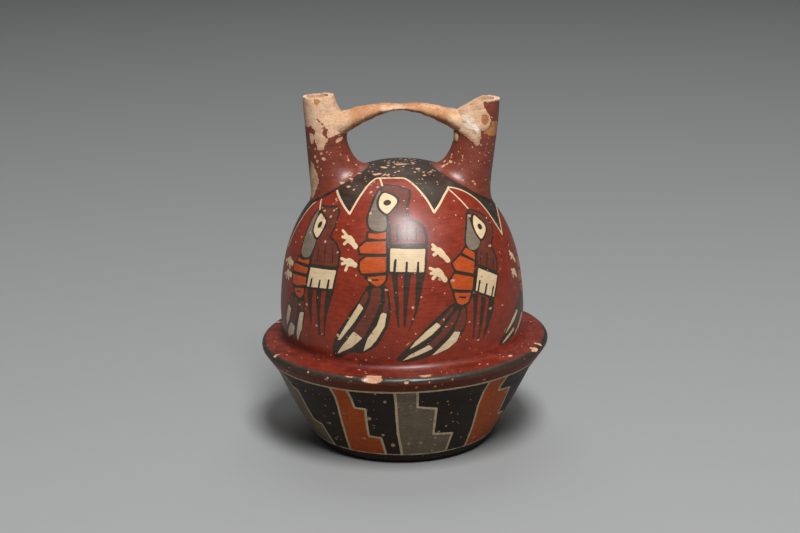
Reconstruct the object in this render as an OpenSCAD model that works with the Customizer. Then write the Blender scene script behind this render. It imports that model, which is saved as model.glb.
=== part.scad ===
// A double spout and bridge bottle, hand-built in coarse clay from slabs, coils and rolled tubes.
// Each piece of clay is a solid of its own, seated on the next one as the potter luted them together.
// The bottle stands on z = 0 with its axis on Z, and its two spouts lie along X.

/* [Base slab and bowl] */
// Radius of the flat spot that the bottle stands on
foot_r = 42; // [38:0.5:45]
// Outer radius of the base slab, where the bowl's wall starts
slab_r = 49; // [47:0.5:52]
// Thickness of the base slab
slab_t = 6; // [5:0.5:8]
// Height of the top of the bowl's wall
bowl_top_z = 41; // [36:0.5:45]
// Thickness of the bowl's wall, measured level
bowl_t = 6; // [4.5:0.25:7]
// How far the bowl's wall swells out past a straight line
bowl_belly = 0.8; // [0:0.1:2]

/* [Ledge] */
// Largest radius of the lip that stands out round the bottle
lip_r = 75; // [73:0.5:80]
// How far the lip stands out past the top of the bowl's wall
lip_over = 8; // [6:0.5:10]
// Width of the ledge, from its lip in to the dome at its widest
ledge_w = 11.4; // [10:0.2:13]
// Radius of the lip's rounded edge
lip_round = 2.4; // [1.5:0.1:3]
// Height of the ledge's upper face beside the lip
ledge_z = 55.8; // [53:0.2:60]
// How much the ledge rises from its lip to the dome
ledge_rise = 0.7; // [0:0.1:2]
// Radius of the thumbed sweep from the ledge up to the dome
ledge_sweep = 3.6; // [2:0.2:6]
// Thickness of clay between the lip and the groove that the seam coil fills
lip_solid = 9; // [8:0.25:11]
// How far the seam coil bulges into the bottle
coil_bulge = 2.5; // [1:0.25:3.5]

/* [Dome] */
// How far the dome draws in at its foot, on the ledge
dome_tuck = 1; // [0:0.1:1.5]
// How far up the wall the draw-in reaches
dome_tuck_h = 15; // [8:1:25]
// Height of the dome from its foot to the top of its crown
dome_h = 92.4; // [88:0.4:100]
// Thickness of the dome's wall
dome_t = 5; // [4:0.25:6]
// Roundness of the dome, where 2 is a plain ellipse and more is squarer
dome_power = 3; // [2.6:0.05:3.3]
// Height above the dome's foot at which the crown slab closes the wall
crown_up = 62; // [56:0.5:66]

/* [Spouts] */
// Distance from the bottle's axis to the middle of a spout's foot
spout_x = 34.5; // [32:0.25:36]
// Outward lean of the spouts in degrees
spout_lean = 10; // [6:0.5:12]
// Length of the left spout along its axis
left_len = 45.5; // [43:0.5:50]
// Length of the right spout along its axis
right_len = 45; // [42:0.5:49]
// Outer radius of a spout at its foot
spout_foot_r = 11.8; // [11.2:0.1:12.6]
// Outer radius of a spout at its lip
spout_lip_r = 7.8; // [7.4:0.1:8.6]
// Radius of the straight bore that a stopper seats in
bore_r = 5; // [4:0.1:5.5]
// Length of the straight bore
bore_len = 14; // [10:0.5:15]
// Height of the straight bore's lower end above the spout's foot
bore_up = 17; // [15:0.5:19]
// Radius of the hole pierced in the crown under a spout
pierced_r = 7; // [6:0.1:8]
// Radius of the mouth, worn wider than the bore
mouth_r = 5.8; // [5.6:0.1:6]
// Slope of the worn rim across the left spout's mouth, in degrees from a square cut
wear_slope = 6; // [2:0.5:10]
// How far down the left spout's axis the worn rim crosses it
wear_down = 0.9; // [0.8:0.1:2]
// Slope of the break across the right spout's mouth, in degrees from a square cut
break_slope = 43; // [30:1:46]
// How far down the right spout's axis the break crosses it
break_down = 4.6; // [2:0.2:5]

/* [Luted collars] */
// How far the middle of a collar's foot lies inside the middle of its spout's foot
collar_in = 3; // [1.5:0.25:4.5]
// How far a collar's foot spreads out past the spout's foot, seen from above
collar_spread = 4; // [3.4:0.2:5.2]
// Height of a collar up the side of the spout, measured along the spout
collar_up = 11.5; // [10:0.5:14]
// How much higher the collar runs towards the bridge, and lower on the outside
collar_rise = 7; // [4:0.5:8]
// Thickness of a collar's smoothed edge
collar_edge = 0.5; // [0.4:0.05:0.8]

/* [Bridge] */
// Height of the middle of the bridge above the top of the dome's crown
bridge_up = 27.8; // [25:0.2:30]
// Fall of the bridge from its middle to the spouts
bridge_fall = 8.8; // [5:0.2:10]
// Width of the bridge at its middle
bridge_mid_w = 11; // [9:0.5:14]
// Thickness of the bridge at its middle
bridge_mid_t = 2.6; // [2.2:0.1:5]
// Width of the bridge where it reaches the welds' outer part
bridge_end_w = 17; // [15:0.5:18]
// Thickness of the bridge, measured upright, where it reaches the welds' outer part
bridge_end_t = 11.3; // [9:0.25:13]
// How far inside the middle of a spout's foot the seam between the bridge and its weld lies
weld_in = 10.5; // [8.5:0.5:13.5]
// How far the bridge's left end hangs deeper than its right
bridge_sag = 1.6; // [0:0.2:2.4]
// How far a weld stands out from the spout's side
weld_proud = 0.5; // [0.3:0.1:1.2]
// Height of a weld where it wraps the spout
weld_h = 21; // [16:0.5:24]

/* [Hidden] */
$fn = 96;

red_slip = [0.52, 0.13, 0.09];
black_slip = [0.16, 0.14, 0.13];
maroon_slip = [0.38, 0.15, 0.12];
bare_clay = [0.84, 0.58, 0.40];

// Radii and places that follow from the sizes above
bowl_top_r = lip_r - lip_over;
groove_r = lip_r - lip_solid;
dome_r = lip_r - ledge_w;
collar_x = spout_x - collar_in;
collar_r = spout_foot_r + collar_spread;
weld_x = spout_x - weld_in;

// Heights that follow from the sizes above
lip_mid_z = ledge_z - lip_round;
inner_r = dome_r - dome_t;
inner_h = dome_h - dome_t;
dome_seat_z = ledge_z + ledge_rise + ledge_sweep;
dome_foot_z = ledge_z;
crown_seam_z = dome_foot_z + crown_up;
crown_top_z = dome_foot_z + dome_h;
bridge_mid_z = crown_top_z + bridge_up;

// Smooth steps along the curves
curve_steps = 10;
dome_steps = 14;
crown_steps = 18;
collar_sides = 32;
collar_rings = 8;
bridge_sides = 16;
bridge_rings = 16;
weld_rings = 6;
// How deep a loft starts inside the piece that trims it
sunk = 4;
// Share of its height at which a collar turns from the spout to the crown
collar_turn = 0.36;
// How far inside the middle of a spout's foot the bridge's sizes reach their end values
bridge_end_in = 3.5;
bridge_end_x = spout_x - bridge_end_in;
// How far a weld sinks towards its end
weld_sink = 3;

// Point at share s along the quadratic curve from a to c, drawn towards b
function quad(a, b, c, s) = (1 - s) * (1 - s) * a + 2 * s * (1 - s) * b + s * s * c;

// Radius of the bowl's outer face at height z
function bowl_r(z) =
    let (s = (z - slab_t) / (bowl_top_z - slab_t))
    slab_r + (bowl_top_r - slab_r) * s + bowl_belly * 4 * s * (1 - s);

// Height of a dome of radius r and height h over the point at distance d from the axis
function dome_z(d, r, h) = dome_foot_z + h * pow(1 - pow(d / r, 2), 1 / dome_power);

// Angle at which the dome's curve of height h reaches height z
function dome_angle(z, h) = asin(pow((z - dome_foot_z) / h, dome_power / 2));

// How far the dome's wall draws in at height z
function dome_tuck_at(z) = dome_tuck * pow(max(0, 1 - (z - dome_seat_z) / dome_tuck_h), 2);

// Points of the dome's curve from angle a0 up to angle a1, where 90 is its top
function dome_curve(r, h, a0, a1, n) =
    [for (i = [0:n])
        let (a = a0 + (a1 - a0) * i / n, z = dome_foot_z + h * pow(sin(a), 2 / dome_power))
        [r * cos(a) - dome_tuck_at(z), z]];

// Curves of the wall and of the crown, outside and inside
seat_out = dome_angle(dome_seat_z, dome_h);
seat_in = dome_angle(dome_seat_z, inner_h);
seam_out = dome_angle(crown_seam_z, dome_h);
seam_in = dome_angle(crown_seam_z, inner_h);
wall_out = dome_curve(dome_r, dome_h, seat_out, seam_out, dome_steps);
wall_in = dome_curve(inner_r, inner_h, seat_in, seam_in, dome_steps);
crown_out = dome_curve(dome_r, dome_h, seam_out, 90, crown_steps);
crown_in = dome_curve(inner_r, inner_h, seam_in, 90, crown_steps);

function reversed(list) = [for (i = [len(list) - 1:-1:0]) list[i]];

module revolve(points) {
    rotate_extrude() polygon(points);
}

// Base slab: a pancake of clay with a rolled edge
module base_slab() {
    edge_z = 0.6;
    edge = [foot_r + 0.6 * (slab_r - foot_r), edge_z];
    outer = [for (i = [0:curve_steps]) quad([foot_r, 0], edge, [slab_r, slab_t], i / curve_steps)];
    color(black_slip) revolve(concat([[0, 0]], outer, [[0, slab_t]]));
}

// Bowl wall: coils drawn up and out from the slab
module bowl_wall() {
    outer = [for (i = [0:curve_steps])
        let (z = slab_t + (bowl_top_z - slab_t) * i / curve_steps) [bowl_r(z), z]];
    inner = [for (p = reversed(outer)) [p[0] - bowl_t, p[1]]];
    color(black_slip) revolve(concat(outer, inner));
}

// Inside of the ledge: the wall runs out into a groove and back to the dome's foot
groove_low = [groove_r, bowl_top_z + 0.45 * (ledge_z - bowl_top_z)];
groove_high = [groove_r, bowl_top_z + 0.72 * (ledge_z - bowl_top_z)];
groove_start = [bowl_top_r - bowl_t, bowl_top_z];
groove_end = [wall_in[0][0], ledge_z + 1.5];

// Ledge ring: the carination that flares to the lip and sweeps up to the dome
module ledge_ring() {
    lip_c = [lip_r - lip_round, lip_mid_z];
    lip = [for (i = [0:curve_steps]) let (a = -38 + 128 * i / curve_steps)
        lip_c + lip_round * [cos(a), sin(a)]];
    sweep_c = wall_out[0] + [ledge_sweep, 0];
    sweep = [for (i = [0:curve_steps]) let (a = 270 - 90 * i / curve_steps)
        sweep_c + ledge_sweep * [cos(a), sin(a)]];
    color(red_slip) revolve(concat([[bowl_top_r, bowl_top_z]], lip, sweep,
        [wall_in[0], groove_end, groove_high, groove_low, groove_start]));
}

// Seam coil: a rope of clay thumbed into the groove to seal the ledge from inside
module ledge_seam_coil() {
    low = groove_low + 0.35 * (groove_start - groove_low);
    high = groove_high + 0.6 * (groove_end - groove_high);
    bulge = (low + high) / 2 - [coil_bulge + 0.5 * abs(low[0] - high[0]), 0];
    face = [for (i = [0:curve_steps]) quad(high, bulge, low, i / curve_steps)];
    color(bare_clay) revolve(concat([groove_low, groove_high], face));
}

// Outside of the whole dome, used to trim what sits on it
module dome_outside() {
    revolve(concat([[0, dome_seat_z]], wall_out, [for (i = [1:crown_steps]) crown_out[i]]));
}

// Dome wall: the chamber's side, seated on the ledge
module dome_wall() {
    color(red_slip) revolve(concat(wall_out, reversed(wall_in)));
}

// Puts its children on the right, or mirrors them to the left
module on_side(side) {
    if (side < 0) mirror([1, 0, 0]) children();
    else children();
}

// Foot of the right spout's axis, on the dome's outer face
spout_foot = [spout_x, 0, dome_z(spout_x, dome_r, dome_h)];

// Stands its children on the right spout's axis
module on_spout() {
    translate(spout_foot) rotate([0, spout_lean, 0]) children();
}

// Crown slab: closes the dome and is pierced under both spouts
module dome_crown() {
    color(black_slip) difference() {
        revolve(concat(crown_out, reversed(crown_in)));
        for (side = [-1, 1])
            on_side(side) on_spout()
                translate([0, 0, -4 * dome_t]) cylinder(r = pierced_r, h = 8 * dome_t);
    }
}

// Outer radius of a spout of length l at height h above its foot
function spout_r(h, l) = spout_lip_r + (spout_foot_r - spout_lip_r) * sqrt(max(0, 1 - h / l));

// Outline of a spout's outer face, from below its foot to its rounded lip
function spout_outline(l) =
    let (lip_t = (spout_lip_r - mouth_r) / 2, body_l = l - lip_t, low = -spout_foot_r * 1.5)
    concat([for (i = [0:dome_steps]) let (h = low + (body_l - low) * i / dome_steps) [spout_r(h, l), h]],
        [for (i = [0:4]) let (a = 180 * i / 4)
            [mouth_r + lip_t + lip_t * cos(a), body_l + lip_t * sin(a)]]);

// Solid spout, without its bore
module spout_solid(l) {
    outline = spout_outline(l);
    revolve(concat([[0, outline[0][1]]], outline, [[0, l - (spout_lip_r - mouth_r) / 2]]));
}

// Everything above a rim that crosses the spout's axis at height h, sloping down to the bridge
module above_rim(h, slope) {
    size = 4 * spout_foot_r;
    on_spout() translate([0, 0, h]) rotate([0, -slope, 0])
        translate([-size / 2, -size / 2, 0]) cube(size);
}

// Spout: a rolled tube, tapered to its lip and cut to saddle the crown
module spout(side, l, rim_h, rim_slope) {
    bore_top = bore_up + bore_len;
    deep = spout_foot_r * 1.5;
    outline = spout_outline(l);
    passage = [[mouth_r, outline[len(outline) - 1][1]], [bore_r, bore_top], [bore_r, bore_up],
        [pierced_r, 0], [pierced_r, -deep]];
    color(maroon_slip) on_side(side) difference() {
        on_spout() revolve(concat(outline, passage));
        dome_outside();
        above_rim(rim_h, rim_slope);
    }
}

module left_spout() spout(-1, left_len, left_len - wear_down, wear_slope);
module right_spout() spout(1, right_len, right_len - break_down, break_slope);

// Point at height h on the spout's axis, and at distance r from it in the direction a
function by_spout(h, r, a) =
    spout_foot + h * [sin(spout_lean), 0, cos(spout_lean)]
    + r * (cos(a) * [-cos(spout_lean), 0, sin(spout_lean)] + sin(a) * [0, 1, 0]);

// Point on the dome, at distance r from the collar's middle in the direction a, seen from above
function by_collar(r, a, up) =
    let (x = collar_x - r * cos(a), y = r * sin(a))
    [x, y, dome_z(norm([x, y]), dome_r, dome_h) + up];

// Ring i of the collar's sweep from the dome up to the spout
function collar_ring(i, l) =
    [for (k = [0:collar_sides - 1])
        let (a = 360 * k / collar_sides,
            top = collar_up + collar_rise * cos(a),
            low = by_collar(collar_r, a, collar_edge),
            high = by_spout(top, spout_r(top, l) + collar_edge, a),
            turn_h = collar_turn * top,
            turn = by_spout(turn_h, spout_r(turn_h, l) + collar_edge, a))
        quad(low, turn, high, i / collar_rings)];

// Collar: a coil luted round the spout's foot and smoothed out onto the crown
module spout_collar(side, l) {
    rings = [for (i = [0:collar_rings]) collar_ring(i, l)];
    base = [for (k = [0:collar_sides - 1]) by_collar(collar_r, 360 * k / collar_sides, -sunk)];
    points = concat(base, [for (ring = rings) for (p = ring) p],
        [by_spout(-2 * sunk, 0, 0), by_spout(collar_up, 0, 0)]);
    n = collar_sides;
    last = collar_rings + 1;
    sides = [for (i = [0:last - 1]) for (k = [0:n - 1])
        let (a = i * n + k, b = i * n + (k + 1) % n)
        for (face = [[a, a + n, b + n], [a, b + n, b]]) face];
    under = [for (k = [0:n - 1]) [(last + 1) * n, k, (k + 1) % n]];
    over = [for (k = [0:n - 1]) [(last + 1) * n + 1, last * n + (k + 1) % n, last * n + k]];
    color(maroon_slip) on_side(side) difference() {
        polyhedron(points, concat(sides, under, over), convexity = 4);
        dome_outside();
        on_spout() spout_solid(l);
    }
}

module left_spout_collar() spout_collar(-1, left_len);
module right_spout_collar() spout_collar(1, right_len);

// Share of the way out along the bridge, drawn out a little towards the ends
function bridge_share(x) = pow(abs(x) / bridge_end_x, 1.1);
function bridge_extra(x) = x < 0 ? bridge_sag * bridge_share(x) : 0;
function bridge_z(x) = bridge_mid_z - bridge_fall * pow(x / bridge_end_x, 2) - bridge_extra(x) / 2;
function bridge_t(x) = bridge_mid_t + (bridge_end_t - bridge_mid_t) * bridge_share(x) + bridge_extra(x);
function bridge_w(x) = bridge_mid_w + (bridge_end_w - bridge_mid_w) * bridge_share(x);

// Upright oval section at x, of width w and height t about height z
function oval(x, z, w, t) =
    [for (k = [0:bridge_sides - 1]) let (a = 360 * k / bridge_sides)
        [x, w / 2 * cos(a), z + t / 2 * sin(a)]];

// Solid through a row of equal rings, closed flat at both ends
module loft(rings) {
    n = len(rings[0]);
    m = len(rings);
    sides = [for (i = [0:m - 2]) for (k = [0:n - 1])
        let (a = i * n + k, b = i * n + (k + 1) % n)
        for (face = [[a, a + n, b + n], [a, b + n, b]]) face];
    first = [for (k = [0:n - 1]) k];
    last = [for (k = [n - 1:-1:0]) (m - 1) * n + k];
    polyhedron([for (ring = rings) for (p = ring) p], concat(sides, [first, last]), convexity = 4);
}

// Bridge strap: a flattened strap of clay arched between the spouts
module bridge_strap() {
    color(bare_clay) loft([for (i = [0:bridge_rings])
        let (x = -weld_x + 2 * weld_x * i / bridge_rings)
        oval(x, bridge_z(x), bridge_w(x), bridge_t(x))]);
}

// Bridge weld: the strap's end, pressed round the inner side of the spout
module bridge_weld(side, l) {
    seam_x = side * weld_x;
    up = (bridge_z(side * bridge_end_x) - spout_foot[2]) / cos(spout_lean);
    end_x = spout_x + up * sin(spout_lean);
    end_z = bridge_z(side * bridge_end_x) - weld_sink;
    end_w = 2 * (spout_r(up, l) + weld_proud);
    color(bare_clay) on_side(side) difference() {
        loft([for (i = [0:weld_rings])
            let (s = i / weld_rings)
            oval(weld_x + (end_x - weld_x) * s,
                bridge_z(seam_x) + (end_z - bridge_z(seam_x)) * s,
                bridge_w(seam_x) + (end_w - bridge_w(seam_x)) * s,
                bridge_t(seam_x) + (weld_h - bridge_t(seam_x)) * s)]);
        on_spout() spout_solid(l);
    }
}

module left_bridge_weld() bridge_weld(-1, left_len);
module right_bridge_weld() bridge_weld(1, right_len);

base_slab();
bowl_wall();
ledge_ring();
ledge_seam_coil();
dome_wall();
dome_crown();
left_spout();
right_spout();
left_spout_collar();
right_spout_collar();
bridge_strap();
left_bridge_weld();
right_bridge_weld();
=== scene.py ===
"""Dresses a slip-painted double spout and bridge bottle over its CAD frame.

Sizes are in millimetres and become metres when a piece is seated. The bottle stands on z = 0, its
spouts lie along X and its front faces -Y. Paint is kept on each mesh as distances in millimetres to
the edges of the painted shapes, negative inside, so that a material draws a crisp brushed edge.
"""

import logging
import math
from collections.abc import Callable, Sequence
from dataclasses import dataclass, field, replace
from enum import Enum

import bmesh
import bpy
import numpy as np
from mathutils import Matrix, Vector

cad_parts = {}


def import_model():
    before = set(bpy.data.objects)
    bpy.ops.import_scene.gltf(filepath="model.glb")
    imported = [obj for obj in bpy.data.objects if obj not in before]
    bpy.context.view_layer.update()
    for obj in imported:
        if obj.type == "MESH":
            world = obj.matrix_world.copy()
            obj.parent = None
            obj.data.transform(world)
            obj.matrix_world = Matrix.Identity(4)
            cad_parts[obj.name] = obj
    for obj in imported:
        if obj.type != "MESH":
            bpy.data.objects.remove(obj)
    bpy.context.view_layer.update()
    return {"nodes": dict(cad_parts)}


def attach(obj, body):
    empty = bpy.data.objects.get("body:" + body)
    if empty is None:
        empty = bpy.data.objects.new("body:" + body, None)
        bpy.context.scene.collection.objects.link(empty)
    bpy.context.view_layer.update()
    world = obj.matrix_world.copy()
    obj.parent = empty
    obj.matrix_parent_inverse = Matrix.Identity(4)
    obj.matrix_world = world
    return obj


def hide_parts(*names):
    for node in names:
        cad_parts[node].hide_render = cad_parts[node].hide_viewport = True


LOG = logging.getLogger("bottle")

MM = 0.001
# No painted distance is kept longer than this
FAR = 9.0
# Vertices that are closer are one
SAME_SPOT = 1e-4
# A length too small to divide by
TINY = 1e-9
# Edges sharper than this many degrees stay crisp
CRISP_EDGE = 48
# A turned piece is spun in this many equal wedges
WEDGES = 16

Point = tuple[float, float]
Outline = tuple[Point, ...]
Socket = bpy.types.NodeSocket
# Colour, roughness and height of a finish, as numbers or sockets
Look = tuple[object, object, object]


class Layer(Enum):
    """A coat of slip, or a loss in one, that a mesh keeps as a distance to its edge."""

    BAND = "band"
    # The red under the ledge's nose: a darker red slip, darkened further as painted shade of the overhang
    DARK = "dark"
    CROWN = "crown"
    INK = "ink"
    PLUM = "plum"
    GREY = "grey"
    ORANGE = "orange"
    CREAM = "cream"
    MARK = "mark"
    BARE = "bare"
    STAIN = "stain"
    PLASTER = "plaster"
    SPALL = "spall"


class Slot(Enum):
    """A material slot of the record."""

    BOWL = "bowl_slip"
    RED = "red_slip"
    BLACK = "black_slip"
    MAROON = "maroon_slip"
    BARE = "bare_clay"


class Side(Enum):
    """The side of the bottle that a spout stands on."""

    LEFT = -1
    RIGHT = 1

    @property
    def word(self) -> str:
        """The side's name in a piece's name."""
        return self.name.lower()


Fields = dict[Layer, np.ndarray]


def linear(code: str) -> tuple[float, float, float, float]:
    """Turns a screen colour into the linear one that a shader takes.

    Args:
        code: The colour as six hex digits.

    Returns:
        Red, green, blue and an alpha of 1.
    """
    parts = [int(code[i : i + 2], 16) / 255 for i in (0, 2, 4)]
    made = [p / 12.92 if p <= 0.04045 else ((p + 0.055) / 1.055) ** 2.4 for p in parts]
    return (made[0], made[1], made[2], 1.0)


def smooth_step(low: float, high: float, value: np.ndarray) -> np.ndarray:
    """Rises smoothly from 0 at low to 1 at high."""
    share = np.clip((value - low) / (high - low), 0.0, 1.0)
    return share * share * (3.0 - 2.0 * share)


def rounded(points: Outline, steps: int = 4, closed: bool = True) -> Outline:
    """Draws a smooth curve through an outline's points.

    Args:
        points: The points that the curve passes through.
        steps: How many short pieces each stretch gets.
        closed: Whether the last point joins the first.

    Returns:
        The finer outline.
    """
    count = len(points)
    made: list[Point] = []
    for i in range(count if closed else count - 1):
        near = [i - 1, i, i + 1, i + 2]
        if closed:
            p0, p1, p2, p3 = (np.array(points[n % count]) for n in near)
        else:
            p0, p1, p2, p3 = (np.array(points[min(max(n, 0), count - 1)]) for n in near)
        for step in range(steps):
            t = step / steps
            bend = 2 * p1 + (p2 - p0) * t + (2 * p0 - 5 * p1 + 4 * p2 - p3) * t * t
            spot = (bend + (3 * p1 - p0 - 3 * p2 + p3) * t**3) / 2
            made.append((float(spot[0]), float(spot[1])))
    if not closed:
        made.append(points[-1])
    return tuple(made)


def segment_distance(
    x: np.ndarray, y: np.ndarray, start: Point, end: Point, scale: np.ndarray | float = 1.0
) -> np.ndarray:
    """Distance from each place to a straight stroke.

    Args:
        x: Places across.
        y: Places up.
        start: One end of the stroke.
        end: Its other end.
        scale: Millimetres to each unit of the stroke's across.

    Returns:
        The distances.
    """
    dx, dy = (end[0] - start[0]) * scale, end[1] - start[1]
    px, py = x - start[0] * scale, y - start[1]
    t = np.clip((px * dx + py * dy) / np.maximum(dx * dx + dy * dy, TINY), 0.0, 1.0)
    return np.hypot(px - t * dx, py - t * dy)


def outline_distance(
    x: np.ndarray, y: np.ndarray, outline: Outline, scale: np.ndarray | float = 1.0
) -> np.ndarray:
    """Signed distance from each place to a closed outline, negative inside.

    Args:
        x: Places across.
        y: Places up.
        outline: The outline's corners in order.
        scale: Millimetres to each unit of the outline's across.

    Returns:
        The signed distances.
    """
    nearest = np.full(x.shape, 1e6)
    inside = np.zeros(x.shape, bool)
    for start, end in zip(outline, outline[1:] + outline[:1]):
        nearest = np.minimum(nearest, segment_distance(x, y, start, end, scale))
        crosses = (start[1] > y) != (end[1] > y)
        rise = (end[1] - start[1]) or TINY
        edge = start[0] + (y - start[1]) * (end[0] - start[0]) / rise
        inside ^= crosses & (x < edge * scale)
    return np.where(inside, -nearest, nearest)


def bezier(share: float, *points: Vector) -> Vector:
    """A place on the smooth curve that the points pull."""
    count = len(points) - 1
    terms = (
        spot * (math.comb(count, i) * share**i * (1 - share) ** (count - i))
        for i, spot in enumerate(points)
    )
    return sum(terms, Vector([0.0] * len(points[0])))


def arc(centre: Point, radius: float, start: float, end: float, count: int) -> list[Point]:
    """Points along a round arc."""
    angles = np.radians(np.linspace(start, end, count))
    return [(centre[0] + radius * math.cos(a), centre[1] + radius * math.sin(a)) for a in angles]


def turned(theta: np.ndarray, centre: float) -> np.ndarray:
    """Angle in degrees from a centre line, the short way round."""
    return (theta - centre + 180.0) % 360.0 - 180.0


@dataclass(frozen=True)
class Wave:
    """One ripple: its height, how often it comes round, how fast it winds along, and its phase."""

    height: float
    count: float
    wind: float = 0.0
    phase: float = 0.0


def ripple(waves: tuple[Wave, ...], around: np.ndarray, along: object = 0.0) -> np.ndarray:
    """Adds up ripples."""
    return sum(w.height * np.sin(w.count * around + w.wind * along + w.phase) for w in waves)


@dataclass(frozen=True)
class Wall:
    """Places on a wall: degrees round it from the front, millimetres up it, and its radius there."""

    theta: np.ndarray
    up: np.ndarray
    radius: np.ndarray

    @classmethod
    def through(cls, spots: np.ndarray) -> "Wall":
        """The wall round Z through some places."""
        x, y, z = spots.T
        return cls(np.degrees(np.arctan2(x, -y)), z, np.hypot(x, y))

    def across(self, centre: float) -> np.ndarray:
        """Millimetres round the wall from an upright line."""
        return np.radians(turned(self.theta, centre)) * self.radius

    def part(self, chosen: np.ndarray) -> "Wall":
        """Some of the places."""
        return Wall(self.theta[chosen], self.up[chosen], self.radius[chosen])

    def blank(self, layers: Sequence[Layer]) -> Fields:
        """Distances for layers with nothing painted yet."""
        return {layer: np.full(self.theta.shape, FAR) for layer in layers}


# Meshes


def revolve(profile: Sequence[Point], columns: int) -> bmesh.types.BMesh:
    """Spins a closed profile round Z into a solid: one wedge, then its copies all round.

    Args:
        profile: Radius and height of each corner, in millimetres.
        columns: How many steps the whole turn takes, a multiple of WEDGES.

    Returns:
        The solid, its faces pointing outwards.
    """
    bm = bmesh.new()
    verts = [bm.verts.new((r, 0.0, z)) for r, z in profile]
    ends = verts[1:] + verts[:1]
    on_axis = max(profile[0][0], profile[-1][0]) < TINY
    pairs = list(zip(verts, ends))[: -1 if on_axis else None]
    edges = [bm.edges.new(pair) for pair in pairs]
    bmesh.ops.spin(
        bm,
        geom=verts + edges,
        cent=(0, 0, 0),
        axis=(0, 0, 1),
        dvec=(0, 0, 0),
        angle=math.tau / WEDGES,
        steps=columns // WEDGES,
        use_merge=False,
        use_duplicate=False,
    )
    bmesh.ops.remove_doubles(bm, verts=bm.verts, dist=SAME_SPOT)
    for turn in (1, 2, 4, 8):
        made = bmesh.ops.duplicate(bm, geom=[*bm.verts, *bm.edges, *bm.faces])["geom"]
        turned_verts = [g for g in made if isinstance(g, bmesh.types.BMVert)]
        turn_matrix = Matrix.Rotation(math.tau * turn / WEDGES, 4, "Z")
        bmesh.ops.transform(bm, matrix=turn_matrix, verts=turned_verts)
    bmesh.ops.remove_doubles(bm, verts=bm.verts, dist=SAME_SPOT)
    bmesh.ops.recalc_face_normals(bm, faces=bm.faces)
    return bm


class Closing(Enum):
    """How a loft ends: with a flat cap at both ends, or with its last ring joined to its first."""

    CAPPED = "capped"
    JOINED = "joined"


def loft(rings: Sequence[Sequence[Vector]], closing: Closing) -> bmesh.types.BMesh:
    """Draws a skin through rings of equal count.

    Args:
        rings: The rings in order, each with its points in order.
        closing: How the loft ends.

    Returns:
        The closed solid.
    """
    bm = bmesh.new()
    ring = bmesh.ops.create_circle(bm, segments=len(rings[0]), radius=1.0)["verts"]
    for vert, spot in zip(ring, rings[0]):
        vert.co = spot
    first = list(bm.edges)
    edges = first
    for target in rings[1:]:
        grown = bmesh.ops.extrude_edge_only(bm, edges=edges)["geom"]
        fresh = {g for g in grown if isinstance(g, bmesh.types.BMVert)}
        ring = [next(e.other_vert(v) for e in v.link_edges if e.other_vert(v) in fresh) for v in ring]
        for vert, spot in zip(ring, target):
            vert.co = spot
        around = {e for v in ring for e in v.link_edges}
        edges = [e for e in around if all(v in fresh for v in e.verts)]
    if closing is Closing.JOINED:
        bmesh.ops.bridge_loops(bm, edges=first + edges)
    else:
        bmesh.ops.holes_fill(bm, edges=first, sides=0)
        bmesh.ops.holes_fill(bm, edges=edges, sides=0)
    bmesh.ops.recalc_face_normals(bm, faces=bm.faces)
    return bm


def soften(mesh: bpy.types.Mesh) -> None:
    """Shades a mesh smooth but for its true corners."""
    mesh.shade_smooth()
    mesh.set_sharp_from_angle(angle=math.radians(CRISP_EDGE))


def finish_mesh(bm: bmesh.types.BMesh, name: str) -> bpy.types.Object:
    """Makes an object of a bmesh, still in millimetres, and shades it smooth.

    Args:
        bm: The mesh, which is freed.
        name: The piece's name.

    Returns:
        The new object, linked to the scene.
    """
    mesh = bpy.data.meshes.new(name)
    bm.to_mesh(mesh)
    bm.free()
    soften(mesh)
    piece = bpy.data.objects.new(name, mesh)
    bpy.context.scene.collection.objects.link(piece)
    return piece


def carve(piece: bpy.types.Object, cutter: bpy.types.Object) -> None:
    """Cuts a solid out of a piece and removes the solid.

    Args:
        piece: The piece to cut.
        cutter: The solid to cut out.
    """
    cut = piece.modifiers.new("cut", "BOOLEAN")
    cut.operation = "DIFFERENCE"
    cut.solver = "EXACT"
    cut.object = cutter
    bpy.context.view_layer.update()
    shaped = piece.evaluated_get(bpy.context.evaluated_depsgraph_get())
    mesh = bpy.data.meshes.new_from_object(shaped)
    piece.modifiers.clear()
    old = piece.data
    piece.data = mesh
    bpy.data.meshes.remove(old)
    mesh.name = piece.name
    soften(mesh)
    spare = cutter.data
    bpy.data.objects.remove(cutter)
    bpy.data.meshes.remove(spare)


def places(piece: bpy.types.Object) -> np.ndarray:
    """The piece's vertices as an array of x, y and z."""
    flat = np.zeros(len(piece.data.vertices) * 3)
    piece.data.vertices.foreach_get("co", flat)
    return flat.reshape(-1, 3)


def move_places(piece: bpy.types.Object, spots: np.ndarray) -> None:
    """Puts the piece's vertices at new places."""
    piece.data.vertices.foreach_set("co", spots.ravel())
    piece.data.update()


def moved(spots: np.ndarray, matrix: Matrix) -> np.ndarray:
    """Places moved by a matrix."""
    grid = np.array(matrix)
    return spots @ grid[:3, :3].T + grid[:3, 3]


def keep_fields(piece: bpy.types.Object, fields: Fields) -> None:
    """Stores painted distances on a piece, one attribute for each layer.

    Args:
        piece: The piece to paint.
        fields: The distance at each vertex, for each layer.
    """
    for layer, values in fields.items():
        made = piece.data.attributes.new(layer.value, "FLOAT", "POINT")
        made.data.foreach_set("value", np.clip(values, -FAR, FAR).astype(np.float32))


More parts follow.
